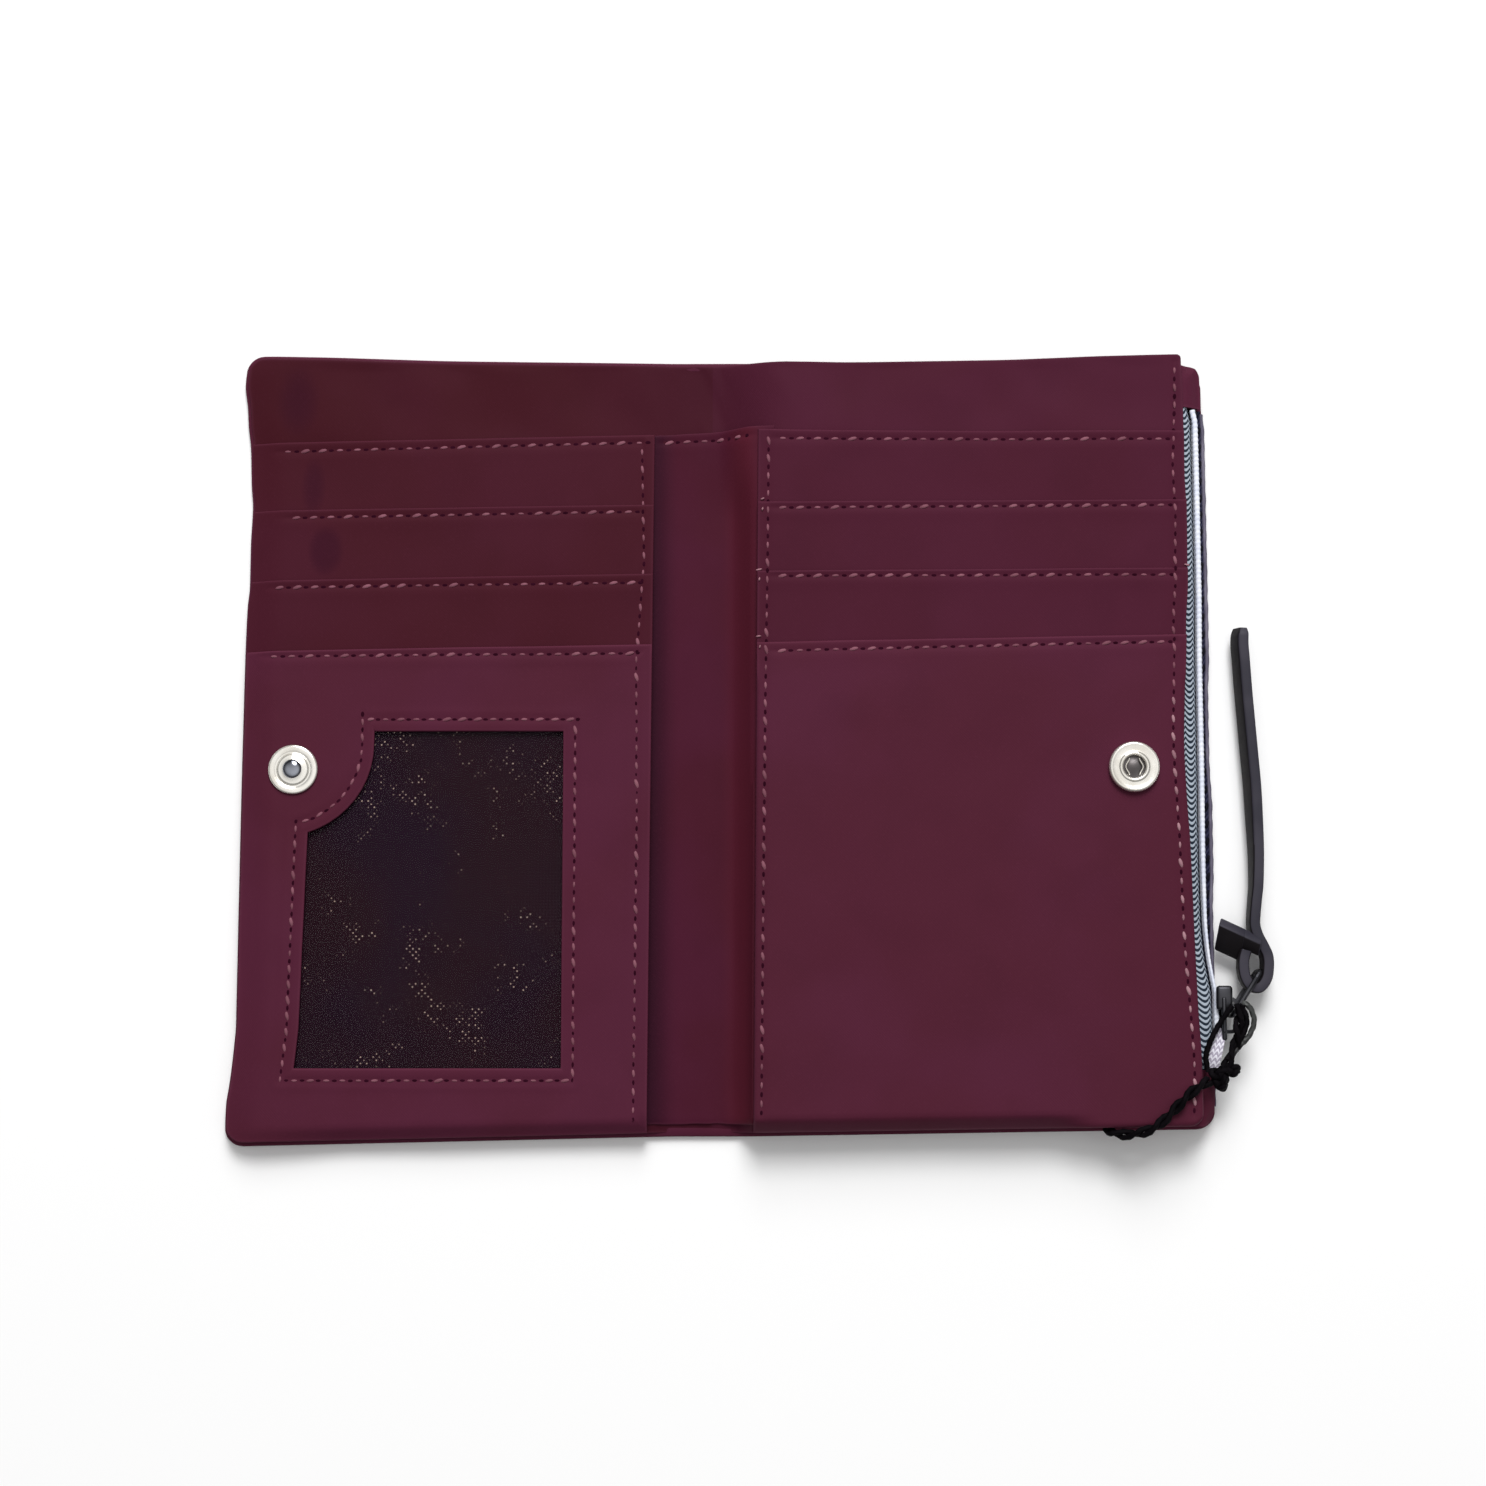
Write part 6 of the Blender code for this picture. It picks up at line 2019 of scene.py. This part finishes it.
@dataclass
class Puller:
    """Slider body and the leather strap that is slit and looped through itself."""

    half_thick: float = 0.00125
    half_tall: float = 0.0023
    lean: float = 0.00125
    squareness: float = 0.32
    tip_length: float = 0.0018
    tip_width: float = 0.66
    tip_growth: float = 0.34
    lean_fade: Plan = (0.036, 0.068)
    strap_lift: float = 0.0008
    tail: tuple[Plan, ...] = (
        (119.2, 25.3), (119.0, 21.9), (119.2, 18.3), (119.6, 11.0), (120.1, 3.8), (120.6, -3.3),
        (121.1, -10.5), (121.3, -17.7), (121.35, -24.8), (121.05, -31.9), (120.6, -35.6),
        (120.2, -39.0), (120.1, -41.4), (120.7, -43.6), (121.8, -45.8), (122.75, -48.0),
        (122.9, -50.4), (122.4, -53.2), (120.8, -55.1), (118.8, -54.6), (117.6, -52.4),
        (117.4, -49.4), (118.0, -46.9)
    )
    bar_start: Vector = Vector((0.1122, -0.0405))
    bar_end: Vector = Vector((0.1214, -0.0448))
    bar_parts: tuple[Place, ...] = ((0.0, 0.62, 0.0068), (0.58, 1.0, 0.0034))
    bar_thick: float = 0.0030
    bar_tilt: float = math.radians(48)
    bar_skew: float = 0.28

    def slider(self) -> None:
        """Slider: outer plate, inner plate under the tape, post and the lip over the chain."""
        low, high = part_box("slider_body")
        middle = (low.z + high.z) / 2
        parts = [
            plank((high.x - 0.0011, low.y + 0.0002, low.z + 0.0005),
                  (high.x, high.y - 0.0002, high.z - 0.0005), 0.00042),
            plank((high.x - 0.0011, low.y + 0.0018, low.z),
                  (high.x - 0.0001, high.y - 0.0018, high.z), 0.00042),
            plank((low.x + 0.00015, low.y, middle - 0.0014),
                  (low.x + 0.00115, high.y, middle + 0.0014), 0.00038),
            plank((low.x + 0.0007, low.y + 0.0010, middle - 0.0003),
                  (high.x - 0.0006, low.y + 0.0030, middle + 0.0003), 0.00012),
            plank((high.x - 0.0022, high.y - 0.0046, middle + 0.00200),
                  (high.x + 0.0014, high.y + 0.0007, middle + 0.00360), 0.00075),
        ]
        deliver("slider_body", joined(parts, [0] * len(parts)), ["gunmetal"], "gunmetal",
                ["slider_body"], sharp=50, body=Body.SLIDER)

    def strap_section(self, turn: float, run: float) -> Plan:
        """Rounded oblong section, softly bulged on its faces."""
        across, up = math.cos(turn), math.sin(turn)
        wide = math.copysign(abs(across) ** self.squareness, across)
        tall = math.copysign(abs(up) ** self.squareness, up)
        cap = self.tip_width + self.tip_growth * math.sqrt(between(run, 0.0, self.tip_length))
        lean = self.lean * (1 - 0.85 * between(run, *self.lean_fade)) * (1 - tall) / 2
        return cap * wide * self.half_thick + lean, cap * tall * self.half_tall

    def strap(self) -> None:
        """Tail and loop in one run, with the slit end lying across the tail."""
        low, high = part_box("pull_strap")
        level = (low.z + high.z) / 2 + self.strap_lift
        points = smooth_route([(x / 1000, y / 1000, level) for x, y in self.tail], 150)
        parts = [swept(points, self.strap_section, 24)]
        run = self.bar_end - self.bar_start
        turn = math.atan2(run.y, run.x)
        parts[0].normal_update()
        for face in parts[0].faces:
            face.material_index = 0 if abs(face.normal.z) > 0.72 else 1
        for start, end, tall in self.bar_parts:
            length = run.length * (end - start)
            piece = plank((0, -tall, -self.bar_thick / 2), (length, 0, self.bar_thick / 2),
                          0.00045)
            piece.normal_update()
            for face in piece.faces:
                face.material_index = 1 if abs(face.normal.z) > 0.8 else 0
            for vert in piece.verts:
                vert.co.x -= self.bar_skew * vert.co.y
            tilt = Matrix.Rotation(turn, 4, "Z")
            tilt = tilt @ Matrix.Rotation(math.pi / 2 - self.bar_tilt, 4, "X")
            start_at = self.bar_start + run * start
            move = Matrix.Translation((start_at.x, start_at.y, high.z + 0.0004))
            bmesh.ops.transform(piece, matrix=move @ tilt, verts=piece.verts)
            parts.append(piece)
        deliver("pull_strap", joined(parts), ["strap_edge", "strap_face"], "leather",
                ["pull_strap"], sharp=45, body=Body.STRAP)

    def build(self) -> None:
        """Make both."""
        self.slider()
        self.strap()


@dataclass
class Studio:
    """Floor, light and camera."""

    floor_size: float = 6.0
    floor_gap: float = 0.0004
    floor_colour: Place = (1.0, 1.0, 1.0)
    bounce_colour: Place = (0.80, 0.80, 0.80)
    sky_rise: Plan = (0.5, 1.0)
    sky_strength: Plan = (0.12, 0.85)
    lamps: tuple[tuple[str, Place, float, float], ...] = (
        ("key", (0.15, 1.35, 1.75), 1.0, 26.5), ("low", (0.10, 1.75, 1.40), 1.2, 18.5)
    )

    def floor(self) -> None:
        """White floor that keeps the object's shadow."""
        shape = bmesh.new()
        bmesh.ops.create_grid(shape, x_segments=1, y_segments=1, size=self.floor_size)
        mesh = bpy.data.meshes.new("floor")
        shape.to_mesh(mesh)
        shape.free()
        floor = bpy.data.objects.new("floor", mesh)
        floor.location = (0, 0, -self.floor_gap)
        bpy.context.scene.collection.objects.link(floor)
        shader = Shader("white_floor")
        seen = shader.node("ShaderNodeLightPath", output="Is Camera Ray")
        mirrored = shader.node("ShaderNodeLightPath", output="Is Glossy Ray")
        tone = shader.mix(seen + mirrored, self.bounce_colour, self.floor_colour)
        shader.drive("Base Color", tone)
        shader.fix(Roughness=1.0, Specular_IOR_Level=0.0)
        mesh.materials.append(shader.material)

    def light(self) -> None:
        """Sky that grows brighter towards the zenith, and two wide soft lamps past the top edge."""
        scene = bpy.context.scene
        world = bpy.data.worlds.new("studio")
        world.use_nodes = True
        sky = Graph(world.node_tree, "Background")
        sky.fix(Color=(1.0, 1.0, 1.0, 1.0))
        place = sky.node("ShaderNodeTexCoord", output="Generated")
        height = sky.node("ShaderNodeSeparateXYZ", None, {0: place}, "Z")
        sky.drive("Strength", height.ranged(*self.sky_rise, *self.sky_strength))
        scene.world = world
        for name, place, size, energy in self.lamps:
            lamp = bpy.data.lights.new(name, "AREA")
            lamp.shape = "DISK"
            lamp.size = size
            lamp.energy = energy
            holder = bpy.data.objects.new(name, lamp)
            holder.location = place
            holder.rotation_euler = (-Vector(place)).to_track_quat("-Z", "Y").to_euler()
            scene.collection.objects.link(holder)

    def camera(self) -> None:
        """Camera at the photograph's place."""
        scene = bpy.context.scene
        lens = bpy.data.cameras.new("photo")
        lens.lens = CAMERA_LENS
        lens.sensor_width = 36.0
        lens.sensor_fit = "HORIZONTAL"
        lens.clip_start = 0.01
        camera = bpy.data.objects.new("photo", lens)
        back = Vector((0, -math.sin(CAMERA_LEAN), math.cos(CAMERA_LEAN)))
        camera.location = CAMERA_TARGET + back * CAMERA_DISTANCE
        camera.rotation_euler = (-back).to_track_quat("-Z", "Y").to_euler()
        scene.collection.objects.link(camera)
        scene.camera = camera
        scene.view_settings.view_transform = "Standard"

    def build(self) -> None:
        """Make the studio."""
        self.camera()
        self.light()
        self.floor()


def dress_rest() -> None:
    """Give the nodes that stay as they are their finishes."""
    finishes = {"gunmetal": "gunmetal", "lining": "grey_lining"}
    slots = {part["node"]: part["material_slot"] for part in frame["record"]["subparts"]}
    for name, node in frame["nodes"].items():
        if node.hide_render or slots.get(name) not in finishes:
            continue
        node.data.materials.clear()
        node.data.materials.append(PALETTE.get(finishes[slots[name]]))


def main() -> None:
    """Build the wallet's looks in order."""
    logging.basicConfig(level=logging.INFO, format="%(relativeCreated)6d ms %(name)s: %(message)s")
    Studio().build()
    TagCord().build()
    spine = Spine()
    spine.build()
    LeftHalf().build()
    RightHalf().build()
    CoinPocket(spine).build()
    Zip().build()
    Snap().build()
    Puller().build()
    dress_rest()


if __name__ == "__main__":
    main()
